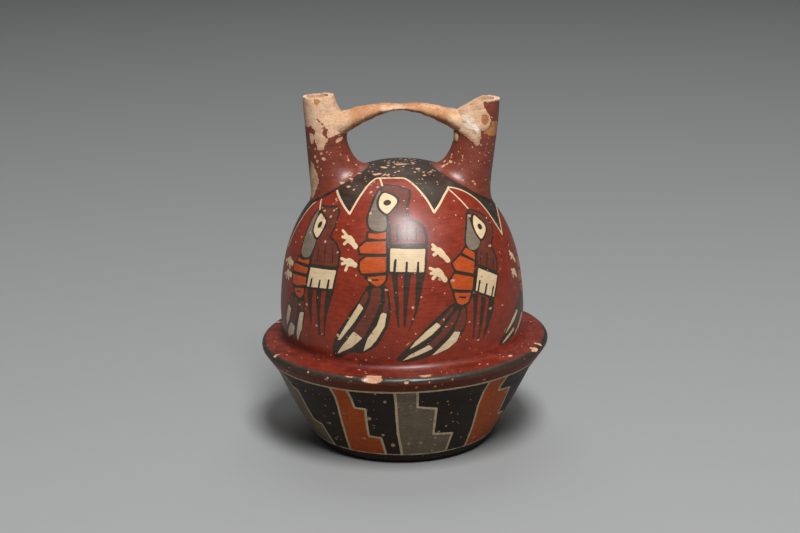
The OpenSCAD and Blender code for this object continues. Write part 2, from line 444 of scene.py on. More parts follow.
def seat(piece: bpy.types.Object, slot: Slot, finishes: list[bpy.types.Material], *nodes: str) -> None:
    """Turns a piece into metres, rides it on the bottle and gives it its finish.

    Args:
        piece: The finished piece, in millimetres.
        slot: The record's slot that it takes its finish from. It is not used.
        finishes: Its finishes, in the order of its faces' numbers, which start again at 0.
        nodes: The CAD nodes that it stands for.
    """
    piece.data.transform(Matrix.Scale(MM, 4))
    piece.data.materials.clear()
    for finish in finishes:
        piece.data.materials.append(finish)
    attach(piece, "root")
    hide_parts(*nodes)
    piece.data.calc_loop_triangles()
    LOG.info("%s: %d triangles", piece.name, len(piece.data.loop_triangles))


# Finishes

# How rough the burnished polish is, how proud a coat's grit stands, the colour of old dirt, and
# where a dot's soft edge starts and ends, as shares of its radius
POLISH_ROUGH = 0.29
GRIT_RELIEF = 0.3
DIRT = "1d1510"
DOT_EDGE = (0.8, 1.25)


@dataclass(frozen=True)
class Grain:
    """A noise: cells to a millimetre, finer octaves and their strength, and how flat its cells are."""

    scale: float
    detail: float = 3.0
    rough: float = 0.5
    stretch: float = 1.0


@dataclass(frozen=True)
class Coat:
    """A coat of slip or clay: where it lies, its two tones, how dull, thick, ragged and gritty it is."""

    layer: Layer | None
    deep: str
    light: str
    rough: float
    thick: float = 0.03
    ragged: float = 1.0
    grain: float = 0.0
    soft: float = 0.15


class Bench:
    """A small bench for wiring one material's nodes."""

    def __init__(self, name: str) -> None:
        """Starts an empty material.

        Args:
            name: The material's name.
        """
        self.material = bpy.data.materials.new(name)
        self.material.use_nodes = True
        self.tree = self.material.node_tree
        self.tree.nodes.clear()
        spot = self.tree.nodes.new("ShaderNodeTexCoord").outputs["Object"]
        self.place = self.scaled(spot, (1 / MM,) * 3)

    def plug(self, socket: Socket, value: object) -> None:
        """Gives an input a value or a link.

        Args:
            socket: The input.
            value: A socket to link, or a plain value.
        """
        if isinstance(value, Socket):
            self.tree.links.new(value, socket)
        else:
            socket.default_value = value

    def scaled(self, vector: Socket, by: tuple[float, ...]) -> Socket:
        """Multiplies a vector by three factors.

        Args:
            vector: The vector to scale.
            by: The three factors.

        Returns:
            The scaled vector.
        """
        node = self.tree.nodes.new("ShaderNodeVectorMath")
        node.operation = "MULTIPLY"
        self.plug(node.inputs[0], vector)
        self.plug(node.inputs[1], by)
        return node.outputs[0]

    def math(self, operation: str, *values: object) -> Socket:
        """Works out one sum.

        Args:
            operation: The Math node's operation.
            values: Its operands, as numbers or sockets.

        Returns:
            The result.
        """
        node = self.tree.nodes.new("ShaderNodeMath")
        node.operation = operation
        for socket, value in zip(node.inputs, values):
            self.plug(socket, value)
        return node.outputs[0]

    def total(self, *terms: object) -> Socket:
        """Adds up terms.

        Args:
            terms: Numbers, sockets, or pairs of a socket and its weight.

        Returns:
            The sum.
        """
        result: object = 0.0
        for term in terms:
            if isinstance(term, tuple):
                result = self.math("MULTIPLY_ADD", term[0], term[1], result)
            else:
                result = self.math("ADD", term, result)
        return result

    def noise(self, grain: Grain) -> Socket:
        """Noise about 0, from -0.5 to 0.5.

        Args:
            grain: What the noise is like.

        Returns:
            The noise.
        """
        node = self.tree.nodes.new("ShaderNodeTexNoise")
        place = self.place if grain.stretch == 1.0 else self.scaled(self.place, (1.0, 1.0, grain.stretch))
        for name, value in (
            ("Vector", place),
            ("Scale", grain.scale),
            ("Detail", grain.detail),
            ("Roughness", grain.rough),
        ):
            self.plug(node.inputs[name], value)
        return self.math("SUBTRACT", node.outputs["Fac"], 0.5)

    def step(self, value: Socket, low: float, high: float) -> Socket:
        """Rises smoothly from 0 at low to 1 at high, or falls if high is the smaller.

        Args:
            value: The value to step on.
            low: Where the result is 0.
            high: Where the result is 1.

        Returns:
            The step.
        """
        node = self.tree.nodes.new("ShaderNodeMapRange")
        node.interpolation_type = "SMOOTHSTEP"
        self.plug(node.inputs["Value"], value)
        falls = high < low
        for name, number in zip(
            ("From Min", "From Max", "To Min", "To Max"),
            (min(low, high), max(low, high), float(falls), float(not falls)),
        ):
            node.inputs[name].default_value = number
        return node.outputs["Result"]

    def blend(self, share: object, first: object, second: object) -> Socket:
        """Blends two colours.

        Args:
            share: How much of the second shows.
            first: A colour.
            second: The colour over it.

        Returns:
            The blended colour.
        """
        node = self.tree.nodes.new("ShaderNodeMix")
        node.data_type = "RGBA"
        node.clamp_factor = True
        self.plug(node.inputs["Factor"], share)
        self.plug(node.inputs["A"], first)
        self.plug(node.inputs["B"], second)
        return next(s for s in node.outputs if s.type == "RGBA")

    def between(self, share: object, first: object, second: object) -> Socket:
        """Blends two numbers."""
        rest = self.math("SUBTRACT", 1.0, share)
        return self.math("MULTIPLY_ADD", second, share, self.math("MULTIPLY", first, rest))

    def shade(self, tone: object, deep: str, light: str) -> Socket:
        """Blends two screen colours, from the deep one at 0 to the light one at 1."""
        return self.blend(tone, linear(deep), linear(light))

    def tint(self, colour: object, share: object, strength: float, code: str) -> Socket:
        """Tints a colour."""
        return self.blend(self.math("MULTIPLY", share, strength), colour, linear(code))

    def field(self, layer: Layer) -> Socket:
        """Reads the distance to a layer's edge."""
        node = self.tree.nodes.new("ShaderNodeAttribute")
        node.attribute_name = layer.value
        return node.outputs["Fac"]

    def lay(self, coat: Coat, shows: object, tone: object, grain: object, under: Look) -> Look:
        """Lays a coat.

        Args:
            coat: The coat.
            shows: 1 where it lies and 0 elsewhere.
            tone: Where it is light and where deep.
            grain: The noise of its grit.
            under: What it lies on.

        Returns:
            The finish with the coat on it.
        """
        colour, rough, height = under
        shade = self.shade(self.total(tone, (grain, coat.grain)), coat.deep, coat.light)
        thick = self.total(coat.thick, (grain, GRIT_RELIEF * coat.grain))
        return (
            self.blend(shows, colour, shade),
            self.between(shows, rough, coat.rough),
            self.math("MULTIPLY_ADD", shows, thick, height),
        )

    def dots(self, scale: float, radius: float, share: float) -> Socket:
        """Scattered round dots.

        Args:
            scale: Cells per millimetre, one dot to a cell at most.
            radius: A dot's radius in cells.
            share: How many of the cells have one.

        Returns:
            1 inside a dot and 0 outside.
        """
        node = self.tree.nodes.new("ShaderNodeTexVoronoi")
        self.plug(node.inputs["Vector"], self.place)
        node.inputs["Scale"].default_value = scale
        near = self.step(node.outputs["Distance"], radius * DOT_EDGE[1], radius * DOT_EDGE[0])
        parts = self.tree.nodes.new("ShaderNodeSeparateColor")
        self.plug(parts.inputs[0], node.outputs["Color"])
        chosen = self.math("LESS_THAN", parts.outputs[0], share)
        return self.math("MULTIPLY", near, chosen)

    def surface(
        self, colour: object, rough: object, height: object, shine: float, gloss: float = 0.0
    ) -> bpy.types.Material:
        """Ends the material with its surface.

        Args:
            colour: The base colour.
            rough: The roughness.
            height: The relief in millimetres.
            shine: How strongly the surface reflects, 0.5 for glass.
            gloss: Share of a thin polish over it.

        Returns:
            The finished material.
        """
        shader = self.tree.nodes.new("ShaderNodeBsdfPrincipled")
        for name, value in (
            ("Base Color", colour),
            ("Roughness", rough),
            ("Specular IOR Level", shine),
            ("Coat Weight", gloss),
            ("Coat Roughness", POLISH_ROUGH),
        ):
            self.plug(shader.inputs[name], value)
        bump = self.tree.nodes.new("ShaderNodeBump")
        bump.inputs["Distance"].default_value = MM
        self.plug(bump.inputs["Height"], height)
        self.plug(shader.inputs["Normal"], bump.outputs["Normal"])
        end = self.tree.nodes.new("ShaderNodeOutputMaterial")
        self.plug(end.inputs["Surface"], shader.outputs[0])
        return self.material


RED_SLIP = Coat(None, "6c200f", "9a3820", 0.42)
BLACK_SLIP = Coat(Layer.CROWN, "241b15", "45372d", 0.42)
BAND_SLIP = Coat(Layer.BAND, "221a15", "382c23", 0.45)
# Red under the ledge's nose: partly the slip's own darker red, partly painted shade of the overhanging lip
UNDERLIP_RED_AND_SHADE = Coat(Layer.DARK, "5a200f", "7e351f", 0.42)
INK_SLIP = Coat(Layer.INK, "2a211a", "41352b", 0.4)
PLUM_SLIP = Coat(Layer.PLUM, "572a20", "783c2d", 0.42)
GREY_SLIP = Coat(Layer.GREY, "6c5f52", "8a7c6c", 0.4)
BAND_GREY = Coat(Layer.GREY, "6a5a49", "8a7a66", 0.45)
ORANGE_SLIP = Coat(Layer.ORANGE, "a63d15", "c95c26", 0.4)
BAND_ORANGE = Coat(Layer.ORANGE, "a84212", "cc6122", 0.45)
CREAM_SLIP = Coat(Layer.CREAM, "cdb088", "ebd3ad", 0.5, 0.06)
BAND_CREAM = Coat(Layer.CREAM, "b9a17c", "ead5af", 0.55, 0.08, 1.4)
MARK_SLIP = Coat(Layer.MARK, "2a211a", "3c3027", 0.4)
MAROON_SLIP = Coat(None, "64271b", "8d4735", 0.42)
BARE_CLAY = Coat(Layer.BARE, "b98763", "e8c4a2", 0.85, -0.15, 4.0, 0.7)
STAIN_CLAY = Coat(Layer.STAIN, "9c5c2c", "cc8b54", 0.7, -0.05, 5.0, 0.8)
PLASTER_FILL = Coat(Layer.PLASTER, "d2ae8a", "fff3e2", 0.9, 0.25, 5.0, 1.0)
PALE_END = Coat(Layer.BARE, "b58460", "e6c19c", 0.86, 0.0, 6.0, 0.8, 2.5)
# The ledge's red slip, painted darker than the dome's red as shade all over; its streaks and rubbed spots
# are wear
RUBBED_RED_WITH_SHADE = Coat(None, "4e1306", "832c1a", 0.45)

# Noises of the slip and of the bare clay, from the broadest to the finest
SLIP_CLOUD = Grain(0.035)
SLIP_STROKES = Grain(0.16, 4.0, 0.6, stretch=6.0)
SLIP_MOTTLE = Grain(0.24, 4.0, 0.6)
SLIP_GRIT = Grain(0.75, 5.0, 0.75, stretch=3.0)
SLIP_DIRT = Grain(0.8, 5.0, 0.7)
SLIP_FINE = Grain(1.7)
CLAY_CLOUD = Grain(0.09)
CLAY_RUST = Grain(0.13, 4.0)
CLAY_MOTTLE = Grain(0.35, 5.0, 0.65)
CLAY_CRACKS = Grain(0.6, 6.0, 0.8, stretch=2.0)
CLAY_GRIT = Grain(1.5, 4.0, 0.7)


@dataclass(frozen=True)
class SlipFinish:
    """Burnished slip, painted in coats and worn back to the clay in spots."""

    name: str
    ground: Coat
    coats: tuple[Coat, ...]
    worn_deep: str = "b47e60"
    worn_light: str = "deb494"
    worn_rough: float = 0.88
    worn_depth: float = 0.22
    edge_soft: float = 0.07
    pinholes: float = 0.16
    shine: float = 0.42
    gloss: float = 0.35
    grime: float = 0.25
    streaks: float = 1.2
    tooth: float = 0.035

    def make(self) -> bpy.types.Material:
        """Wires the finish: ground, coats, old dirt, then the spots worn back to the clay.

        Returns:
            The material.
        """
        bench = Bench(self.name)
        cloud, mottle, fine = (bench.noise(g) for g in (SLIP_CLOUD, SLIP_MOTTLE, SLIP_FINE))
        strokes, grit = bench.noise(SLIP_STROKES), bench.noise(SLIP_GRIT)
        wander = bench.total((mottle, 0.55), (fine, 0.3))
        tone = bench.total(0.5, (mottle, 1.1), (strokes, self.streaks), (cloud, 0.9), (fine, 0.35))
        look: Look = (bench.shade(tone, self.ground.deep, self.ground.light), self.ground.rough, 0.0)
        for coat in self.coats:
            edge = bench.total(bench.field(coat.layer), (wander, coat.ragged))
            look = bench.lay(coat, bench.step(edge, self.edge_soft, -self.edge_soft), tone, grit, look)
        colour, rough, height = look
        soiled = bench.step(bench.total(bench.noise(SLIP_DIRT), (cloud, 0.5)), 0.05, 0.24)
        colour = bench.tint(colour, soiled, self.grime, DIRT)
        ragged = bench.total(bench.field(Layer.SPALL), (fine, 1.1), (mottle, 0.9))
        holes = bench.dots(0.33, 0.1, self.pinholes)
        lost = bench.math("MAXIMUM", bench.step(ragged, 0.1, -0.1), holes)
        colour = bench.blend(lost, colour, bench.shade(tone, self.worn_deep, self.worn_light))
        brushed = bench.total(rough, (strokes, 0.22), (fine, 0.12))
        relief = bench.total(
            height, (lost, -self.worn_depth), (strokes, 0.05), (fine, self.tooth), (mottle, 0.08)
        )
        rough = bench.between(lost, brushed, self.worn_rough)
        return bench.surface(colour, rough, relief, self.shine, self.gloss)


@dataclass(frozen=True)
class ClayFinish:
    """Bare low-fired clay, gritty and smeared, with rust, cracks, pits and pale fills."""

    name: str
    deep: str = "a66a44"
    light: str = "cb9a71"
    pale: str = "dfc0a0"
    dark: str = "6e4229"
    rust: str = "bd6f3f"
    coats: tuple[Coat, ...] = ()
    rough: float = 0.86
    grit: float = 0.352
    shine: float = 0.25

    def make(self) -> bpy.types.Material:
        """Wires the finish: clay, its smears and faults, then the coats over it.

        Returns:
            The material.
        """
        bench = Bench(self.name)
        cloud, mottle, grit = (bench.noise(g) for g in (CLAY_CLOUD, CLAY_MOTTLE, CLAY_GRIT))
        tone = bench.total(0.5, (cloud, 1.3), (mottle, 1.1), (grit, 0.9))
        smear = bench.step(bench.total(cloud, (mottle, 0.6)), 0.0, 0.26)
        rust = bench.step(bench.total(bench.noise(CLAY_RUST), (mottle, 0.5)), 0.04, 0.22)
        cracks = bench.step(bench.noise(CLAY_CRACKS), 0.12, 0.24)
        pits = bench.dots(0.8, 0.13, 0.2)
        colour = bench.shade(tone, self.deep, self.light)
        for shows, strength, code in (
            (smear, 0.7, self.pale),
            (rust, 0.55, self.rust),
            (cracks, 0.55, self.dark),
            (pits, 0.6, self.dark),
        ):
            colour = bench.tint(colour, shows, strength, code)
        height = bench.total((mottle, 0.5), (grit, self.grit), (pits, -0.2), (cracks, -0.12))
        look: Look = (colour, self.rough, height)
        for coat in self.coats:
            edge = bench.total(bench.field(coat.layer), (mottle, 0.7 * coat.ragged), (grit, 1.2))
            look = bench.lay(coat, bench.step(edge, coat.soft, -coat.soft), tone, grit, look)
        return bench.surface(*look, self.shine)


BOWL_FINISH = SlipFinish(
    "painted bowl slip",
    RED_SLIP,
    (UNDERLIP_RED_AND_SHADE, BAND_SLIP, BAND_ORANGE, BAND_GREY, INK_SLIP, BAND_CREAM),
    pinholes=0.34,
    shine=0.2,
    gloss=0.0,
    grime=0.55,
)
# The ledge: rubbed red slip whose darker red is painted shade
LEDGE_FINISH = SlipFinish(
    "rubbed ledge slip with painted shade", RUBBED_RED_WITH_SHADE, (INK_SLIP,), pinholes=0.3, gloss=0.2, grime=0.42, streaks=1.7
)
DOME_FINISH = SlipFinish(
    "painted dome slip",
    RED_SLIP,
    (BLACK_SLIP, INK_SLIP, PLUM_SLIP, GREY_SLIP, ORANGE_SLIP, CREAM_SLIP, MARK_SLIP),
)
SPOUT_FINISH = SlipFinish(
    "worn spout slip", MAROON_SLIP, (BARE_CLAY, STAIN_CLAY, PLASTER_FILL), pinholes=0.35, tooth=0.08
)
COLLAR_FINISH = SlipFinish("collar slip", MAROON_SLIP, (BLACK_SLIP, BARE_CLAY), pinholes=0.35, tooth=0.08)
BRIDGE_FINISH = ClayFinish("bare bridge clay", coats=(PALE_END, PLASTER_FILL))
INNER_FINISH = ClayFinish("inner clay", deep="9c6445", light="c08a66")
FINISHES = (
    BOWL_FINISH, DOME_FINISH, LEDGE_FINISH, SPOUT_FINISH, COLLAR_FINISH, BRIDGE_FINISH, INNER_FINISH,
)


# Painted pattern


@dataclass(frozen=True)
class Hand:
    """A cream hand: its wrist, palm and three fingertips."""

    wrist: Point
    palm: Point
    tips: tuple[Point, Point, Point]
    arm_thick: float = 1.35
    palm_thick: float = 1.8
    finger_thick: float = 0.76

    def distance(self, x: np.ndarray, y: np.ndarray) -> np.ndarray:
        """Signed distance to the hand's edge.

        Args:
            x: Places across.
            y: Places up.

        Returns:
            The distances, negative inside.
        """
        mid = tuple((a + 2 * b) / 3 for a, b in zip(self.wrist, self.palm))
        near = segment_distance(x, y, self.wrist, self.palm) - self.arm_thick
        near = np.minimum(near, segment_distance(x, y, mid, self.palm) - self.palm_thick)
        for tip in self.tips:
            near = np.minimum(near, segment_distance(x, y, self.palm, tip) - self.finger_thick)
        return near


@dataclass(frozen=True)
class Figure:
    """A painted figure of many colours in its own unrolled frame.

    Across is in millimetres from the figure's upright line, and up is along the wall from the ledge.
    """

    face: Outline
    eye: Outline
    pupil: Point
    pupil_size: Point
    hood: Outline
    wing_lines: tuple[Outline, ...]
    comb: Outline
    slots: tuple[Outline, ...]
    legs: tuple[Outline, ...]
    body: tuple[Outline, ...]
    dash: Outline
    hands: tuple[Hand, ...]
    antenna: Outline
    tail: Outline
    stripes: tuple[Outline, ...]
    tips: tuple[Outline, ...]
    centre: float = 0.0
    spread: float = 1.0
    rise: float = 1.0
    outline_thick: float = 1.15
    slot_thick: float = 0.62
    antenna_thick: float = 0.5
    dash_thick: float = 0.42
    line_thick: float = 0.34
    reach: float = 52.0
    top: float = 104.0
    least_r: float = 6.0

    def drawn(self, x: np.ndarray, y: np.ndarray) -> dict[Layer, list[np.ndarray]]:
        """Draws the figure's shapes.

        Args:
            x: Places across, in the figure's own frame.
            y: Places up.

        Returns:
            The distances to each shape's edge, for each layer.
        """
        found: dict[Layer, list[np.ndarray]] = {layer: [] for layer in FIGURE_LAYERS}
        ink, cream, mark = found[Layer.INK], found[Layer.CREAM], found[Layer.MARK]
        for layer, shapes in (
            (Layer.GREY, (rounded(self.face),)),
            (Layer.PLUM, (self.hood,)),
            (Layer.ORANGE, self.body),
            (Layer.CREAM, (self.comb,)),
        ):
            for shape in shapes:
                edge = outline_distance(x, y, shape)
                found[layer].append(edge)
                ink.append(edge - self.outline_thick)
        found[Layer.PLUM] += [outline_distance(x, y, rounded(s, 3)) for s in self.stripes]
        ink += [outline_distance(x, y, shape) for shape in (*self.legs, rounded(self.tail, 3))]
        eye = outline_distance(x, y, rounded(self.eye))
        cream += [eye, segment_distance(x, y, *self.antenna) - self.antenna_thick]
        cream += [outline_distance(x, y, shape) for shape in self.tips]
        cream += [hand.distance(x, y) for hand in self.hands]
        wide, tall = self.pupil_size
        oval = np.hypot((x - self.pupil[0]) / wide, (y - self.pupil[1]) / tall) - 1.0
        mark += [np.maximum(eye - self.outline_thick, -eye), oval * min(wide, tall)]
        for strokes, thick in (
            (self.slots, self.slot_thick),
            (self.wing_lines, self.line_thick),
            ((self.dash,), self.dash_thick),
        ):
            mark += [segment_distance(x, y, *stroke) - thick for stroke in strokes]
        return found

    def paint(self, wall: Wall, fields: Fields) -> None:
        """Adds the figure to a wall's painted distances.

        Args:
            wall: Places on the wall.
            fields: The distances to add to.
        """
        across = wall.across(self.centre) / self.spread
        near = (np.abs(across) < self.reach) & (wall.up < self.top) & (wall.radius > self.least_r)
        for layer, parts in self.drawn(across[near], wall.up[near] / self.rise).items():
            fields[layer][near] = np.minimum(fields[layer][near], np.minimum.reduce(parts))


FIGURE_LAYERS = (Layer.INK, Layer.PLUM, Layer.GREY, Layer.ORANGE, Layer.CREAM, Layer.MARK)

FRONT_FIGURE = Figure(
    face=(
        (-6.8, 90), (-9.6, 79.5), (-11, 73.2), (-10.6, 68.8), (-8.8, 66.4), (-5.8, 65.6), (-2.7, 66),
        (-1.6, 68.5), (-2.4, 74), (-5, 80),
    ),
    eye=(
        (-3.8, 88.3), (0.8, 86), (2.7, 82.6), (0.6, 78.2), (-1.9, 75.3), (-5.6, 78.5), (-6.5, 82.6),
        (-5.6, 86.6),
    ),
    pupil=(-2.2, 81.9),
    pupil_size=(2.0, 1.8),
    hood=(
        (-4.6, 93.8), (1.2, 93.2), (7.6, 89.9), (8.1, 86.6), (7.3, 77.8), (8.2, 72.9), (12.6, 70.4),
        (16.5, 66.8), (18, 62.4), (18.3, 58.9), (1.3, 58.9), (0.7, 66), (-0.6, 72.6), (-2, 76), (-3, 84),
        (-6, 89.5),
    ),
    wing_lines=(((4.2, 61), (4.0, 69)), ((8.8, 61), (8.6, 69.5)), ((13.4, 61), (13, 67))),
    comb=((1.0, 57.1), (18.2, 56.3), (17.9, 45.1), (1.2, 45.7)),
    slots=(((3.7, 51.4), (3.3, 45)), ((9.3, 50.1), (9.2, 45)), ((14.9, 49.8), (14.8, 45))),
    legs=(
        ((1.9, 45.2), (5.0, 45.2), (6.2, 18), (5.2, 18)),
        ((8.0, 45.2), (11.7, 45.2), (9.0, 18.6), (8.0, 18.6)),
        ((14.2, 45.2), (18.7, 45.2), (14.9, 25.9), (10.9, 16.1), (10.3, 16.4), (13.6, 25.9)),
    ),
    body=(
        ((-10.4, 64.4), (-6.2, 64.2), (-1.7, 65.3), (-1.5, 61.7), (-5.2, 61.5), (-10.3, 61.7)),
        ((-11.4, 59.7), (-1.4, 60.6), (-1.1, 54.4), (-14, 54), (-14.8, 56.6)),
        ((-10.8, 52.3), (-1, 52.7), (-0.8, 45.4), (-12.9, 44.1), (-14.1, 46.2), (-14, 49.8)),
        ((-10.3, 42.4), (-0.8, 43.7), (-1, 41.5), (-2.7, 39.2), (-5.2, 38.2), (-7.7, 39.4)),
    ),
    dash=((-7.6, 41.2), (-4.8, 41.4)),
    hands=(
        Hand((-16.8, 57), (-20.2, 60.4), ((-24.7, 64.1), (-24.6, 61), (-23.2, 57.6))),
        Hand((-16.8, 47.9), (-19.9, 49.2), ((-24.2, 50.2), (-23.8, 47.7), (-21.7, 44.7))),
    ),
    antenna=((-7.8, 98.8), (-5.9, 93.4)),
    tail=(
        (-9.8, 38.3), (-14.6, 30.4), (-22.6, 18.9), (-28.1, 9.1), (-29, 0.6), (-26.5, -0.1), (-18, 3.8),
        (-14.8, 3.9), (-13, 4.1), (-6.1, 7.7), (-0.2, 17.3), (1.9, 24.5), (1.4, 32.7), (-0.4, 38.6),
        (-3, 38.2), (-5.2, 37.2), (-7.7, 38.4),
    ),
    stripes=(
        ((-10.3, 35.8), (-13.6, 30.2), (-12.2, 27.9), (-9.6, 32.6)),
        (
            (-7.6, 36.8), (-3.4, 37.2), (-3.2, 33), (-5, 26), (-9.8, 16.3), (-12.6, 12.2), (-17, 15.1),
            (-11.8, 23.6), (-8.2, 32),
        ),
        ((-1.3, 36.4), (0.3, 33), (0.6, 26.5), (-0.4, 25.4), (-2.3, 26.2), (-1.1, 31)),
    ),
    tips=(
        (
            (-14, 29.4), (-11.9, 27.1), (-17.1, 19.1), (-24.7, 9.6), (-26.1, 9.6), (-23.6, 14.1),
            (-18.9, 21.4),
        ),
        ((-17.2, 14.9), (-12.6, 11.9), (-18.3, 6.6), (-26.9, 1.8), (-24.3, 5.7)),
        (
            (-3, 24.7), (-2.2, 25.4), (-0.2, 24.8), (-1.2, 18.6), (-5.2, 11.6), (-8.6, 7.5), (-12.3, 5),
            (-9.8, 12.2), (-5.1, 18.8),
        ),
    ),
)

RIGHT_FIGURE = Figure(
    face=(
        (5.4, 71.2), (2.4, 66.4), (-1.8, 59), (-2.5, 55.6), (-1.1, 53.2), (1.8, 52.6), (5, 54.2),
        (6.6, 57), (4.8, 61.5), (4.8, 66),
    ),
    eye=(
        (9.4, 69.6), (11.7, 67), (13.9, 64), (14, 61.4), (11.6, 59), (7.9, 57.1), (6.3, 59.6),
        (5.8, 62.3), (6.4, 66),
    ),
    pupil=(10.0, 63.1),
    pupil_size=(1.6, 1.6),
    hood=(
        (7.2, 72.8), (8.6, 72.6), (13.9, 69.8), (18.4, 66), (20.1, 61.2), (17.7, 57.4), (12.9, 52.2),
        (15.1, 47), (14.9, 42.4), (13.6, 39.4), (1.3, 45.6), (2.6, 50.5), (4.6, 53.2), (7.4, 56), (8, 64),
    ),
    wing_lines=(((5, 50.6), (3, 45.6)), ((9.3, 49.6), (6.9, 43.8)), ((13, 45.9), (11.6, 41.6))),
    comb=((1.1, 43.5), (13.9, 37.1), (9.4, 27.1), (-2.6, 32.8)),
    slots=(((0.7, 37), (-1, 32.4)), ((5.2, 34.5), (3.1, 29.6)), ((9.8, 32.2), (7.7, 27.2))),
    legs=(
        ((-4.4, 31.8), (-1.4, 30.4), (-5.1, 8.6), (-5.9, 8.6)),
        ((0.5, 29.6), (3.7, 28), (-2, 7.4), (-2.8, 7.4)),
        ((5.7, 27.4), (9.5, 26.2), (9, 21.6), (1.3, 7.2), (0.5, 7.2)),
    ),
    body=(
        ((-3.6, 54.6), (0.8, 51.3), (0, 47.9), (-6.4, 52.4)),
        ((-8, 51.2), (-0.5, 46.9), (-2.4, 41.3), (-12.1, 44.5), (-13.2, 47.9)),
        ((-13.3, 42.8), (-2.8, 39.6), (-4.6, 33.5), (-15.5, 35.6), (-16.3, 39.1)),
        ((-15, 33.7), (-5.5, 32.1), (-7.7, 27.9), (-11.3, 26.9), (-13.8, 28.3)),
    ),
    dash=((-12.4, 31.1), (-9, 30.4)),
    hands=(
        Hand((-15.3, 49.9), (-18.3, 54.8), ((-20.6, 58.1), (-21.3, 55.9), (-21.6, 53.1))),
        Hand((-18.9, 40.6), (-21.5, 44.8), ((-25.2, 46.7), (-25.3, 44.1), (-24.8, 41.5))),
    ),
    antenna=((3.4, 88), (7.8, 74)),
    tail=(
        (-15.6, 28.6), (-25.6, 22.1), (-35.5, 12.7), (-43.7, 4.1), (-45.4, 0.9), (-37.6, 0.4), (-27.8, 3),
        (-19.6, 5.2), (-12.4, 11.7), (-9.4, 17.6), (-8.4, 25.6), (-8, 28), (-11.3, 25.8),
    ),
    stripes=(
        ((-17, 26.6), (-20.6, 23.2), (-24.4, 19.6), (-22.7, 18.4), (-19.9, 21.8), (-16.2, 25.2)),
        (
            (-14.2, 24.8), (-18.6, 20.6), (-23.6, 14.2), (-29.3, 9.2), (-27.3, 7.2), (-21.4, 12.4),
            (-15.9, 18.6), (-13.3, 24.2),
        ),
        ((-11.7, 24.4), (-9.7, 24.6), (-10, 17.6), (-12.8, 14.2), (-16.2, 14.8), (-14.3, 18.8)),
    ),
    tips=(
        ((-25.2, 19.8), (-23.2, 17.9), (-28, 13.7), (-34.5, 9.6), (-39.6, 6.6), (-36, 11.2), (-30.4, 16)),
        ((-29.5, 8.7), (-27.4, 6.7), (-35.3, 3.3), (-43.2, 0.6), (-37.8, 4.5)),
        (
            (-16.2, 14.2), (-12.9, 13.5), (-14.8, 9.1), (-19.6, 5.6), (-28.2, 2.7), (-23.8, 6.6),
            (-19.2, 10.8),
        ),
        ((-37.9, 11.6), (-41.4, 8), (-40.6, 9.6)),
    ),
)

LEFT_FIGURE = Figure(
    face=(
        (-11.6, 71.2), (-12.9, 66.8), (-12.9, 60.5), (-12.4, 53.5), (-12, 48.9), (-9.6, 46.8),
        (-6.1, 46.6), (-3.1, 48.5), (-2, 55.1), (-3.4, 58.4), (-7.4, 61), (-9, 66),
    ),
    eye=(
        (-8.3, 69.9), (-4.6, 68.8), (-1, 67), (-0.4, 64), (-0.7, 60.6), (-2.1, 57.8), (-5, 59),
        (-7.3, 60.8), (-8.8, 65.5),
    ),
    pupil=(-4.1, 64.4),
    pupil_size=(1.5, 1.9),
    hood=(
        (-9.8, 73.2), (0.7, 75.3), (4.1, 73.6), (6.5, 65.6), (6.1, 59.4), (11.8, 56.8), (15.4, 52.6),
        (16.6, 45.9), (-0.8, 44.6), (-1.2, 50), (-1, 55.5), (-2.6, 60), (-6, 68),
    ),
    wing_lines=(((1.7, 53.5), (3.2, 46)), ((5.7, 55.9), (8.1, 46.8)), ((10.8, 55.2), (13.3, 47.6))),
    comb=((-0.7, 42.7), (16.5, 44), (16, 34.7), (-1.1, 33)),
    slots=(((1.8, 37.4), (1.3, 32.6)), ((7.6, 37.6), (7.4, 33.2)), ((13.2, 38.6), (13, 34))),
    legs=(
        ((-0.8, 33.2), (3.6, 33.6), (4.3, 14), (3.5, 14)), ((5.7, 33.8), (9.7, 34.2), (9.9, 10), (9, 10)),
        ((12.3, 34.4), (17.4, 35), (13.6, 18), (13.1, 10), (12.2, 10)),
    ),
    body=(
        ((-13, 45.2), (-8.5, 44.8), (-3.1, 46.2), (-2.6, 43.8), (-13, 43.4)),
        ((-16.1, 41.8), (-2.6, 42), (-2.6, 39.1), (-15.6, 37.9)),
        ((-15.9, 36.2), (-2.7, 37.2), (-2.4, 33.4), (-10, 31.4), (-14.6, 31.7)),
        ((-12.8, 29.6), (-3.4, 31.3), (-3.4, 28), (-6.4, 25.7), (-10.5, 27)),
    ),
    dash=((-9.2, 28.7), (-6.2, 29)),
    hands=(
        Hand((-18.8, 40.6), (-25, 41), ((-32.4, 39), (-27, 38), (-21.6, 37.8))),
        Hand((-18.2, 34.8), (-24, 34.6), ((-29.6, 32.6), (-25, 31.8), (-20.9, 32))),
    ),
    antenna=((-16.6, 77), (-11, 71.6)),
    tail=(
        (-13.4, 27.4), (-17.8, 22.4), (-21.6, 13.5), (-25, 3.4), (-19.8, 1.2), (-14.2, 2.6), (-12, 4.6),
        (-9.6, 0.9), (-3.1, 10.5), (-1.2, 19), (-1.7, 26), (-3.4, 27.6), (-6.4, 24.8), (-10.5, 26.2),
    ),
    stripes=(
        ((-14.6, 25.2), (-17.8, 20.6), (-14.8, 19), (-12.8, 25)),
        ((-11.6, 24.8), (-13.4, 19), (-14.8, 12.2), (-11.2, 10.8), (-8.6, 18), (-8.2, 24.6)),
        ((-6.2, 23.6), (-5.6, 19.6), (-2.5, 20.2), (-2.6, 25)),
    ),
    tips=(
        ((-18.4, 19.7), (-14.9, 18.3), (-17.5, 11.7), (-21.4, 7), (-21.7, 11.7)),
        ((-15.3, 11.1), (-10.9, 9.9), (-12.8, 5.2), (-21.3, 1.4), (-19.1, 6.5)),
        ((-5.5, 18.6), (-2.3, 19.3), (-3.8, 10.6), (-9.4, 1.9), (-9.3, 6.7)),
    ),
)

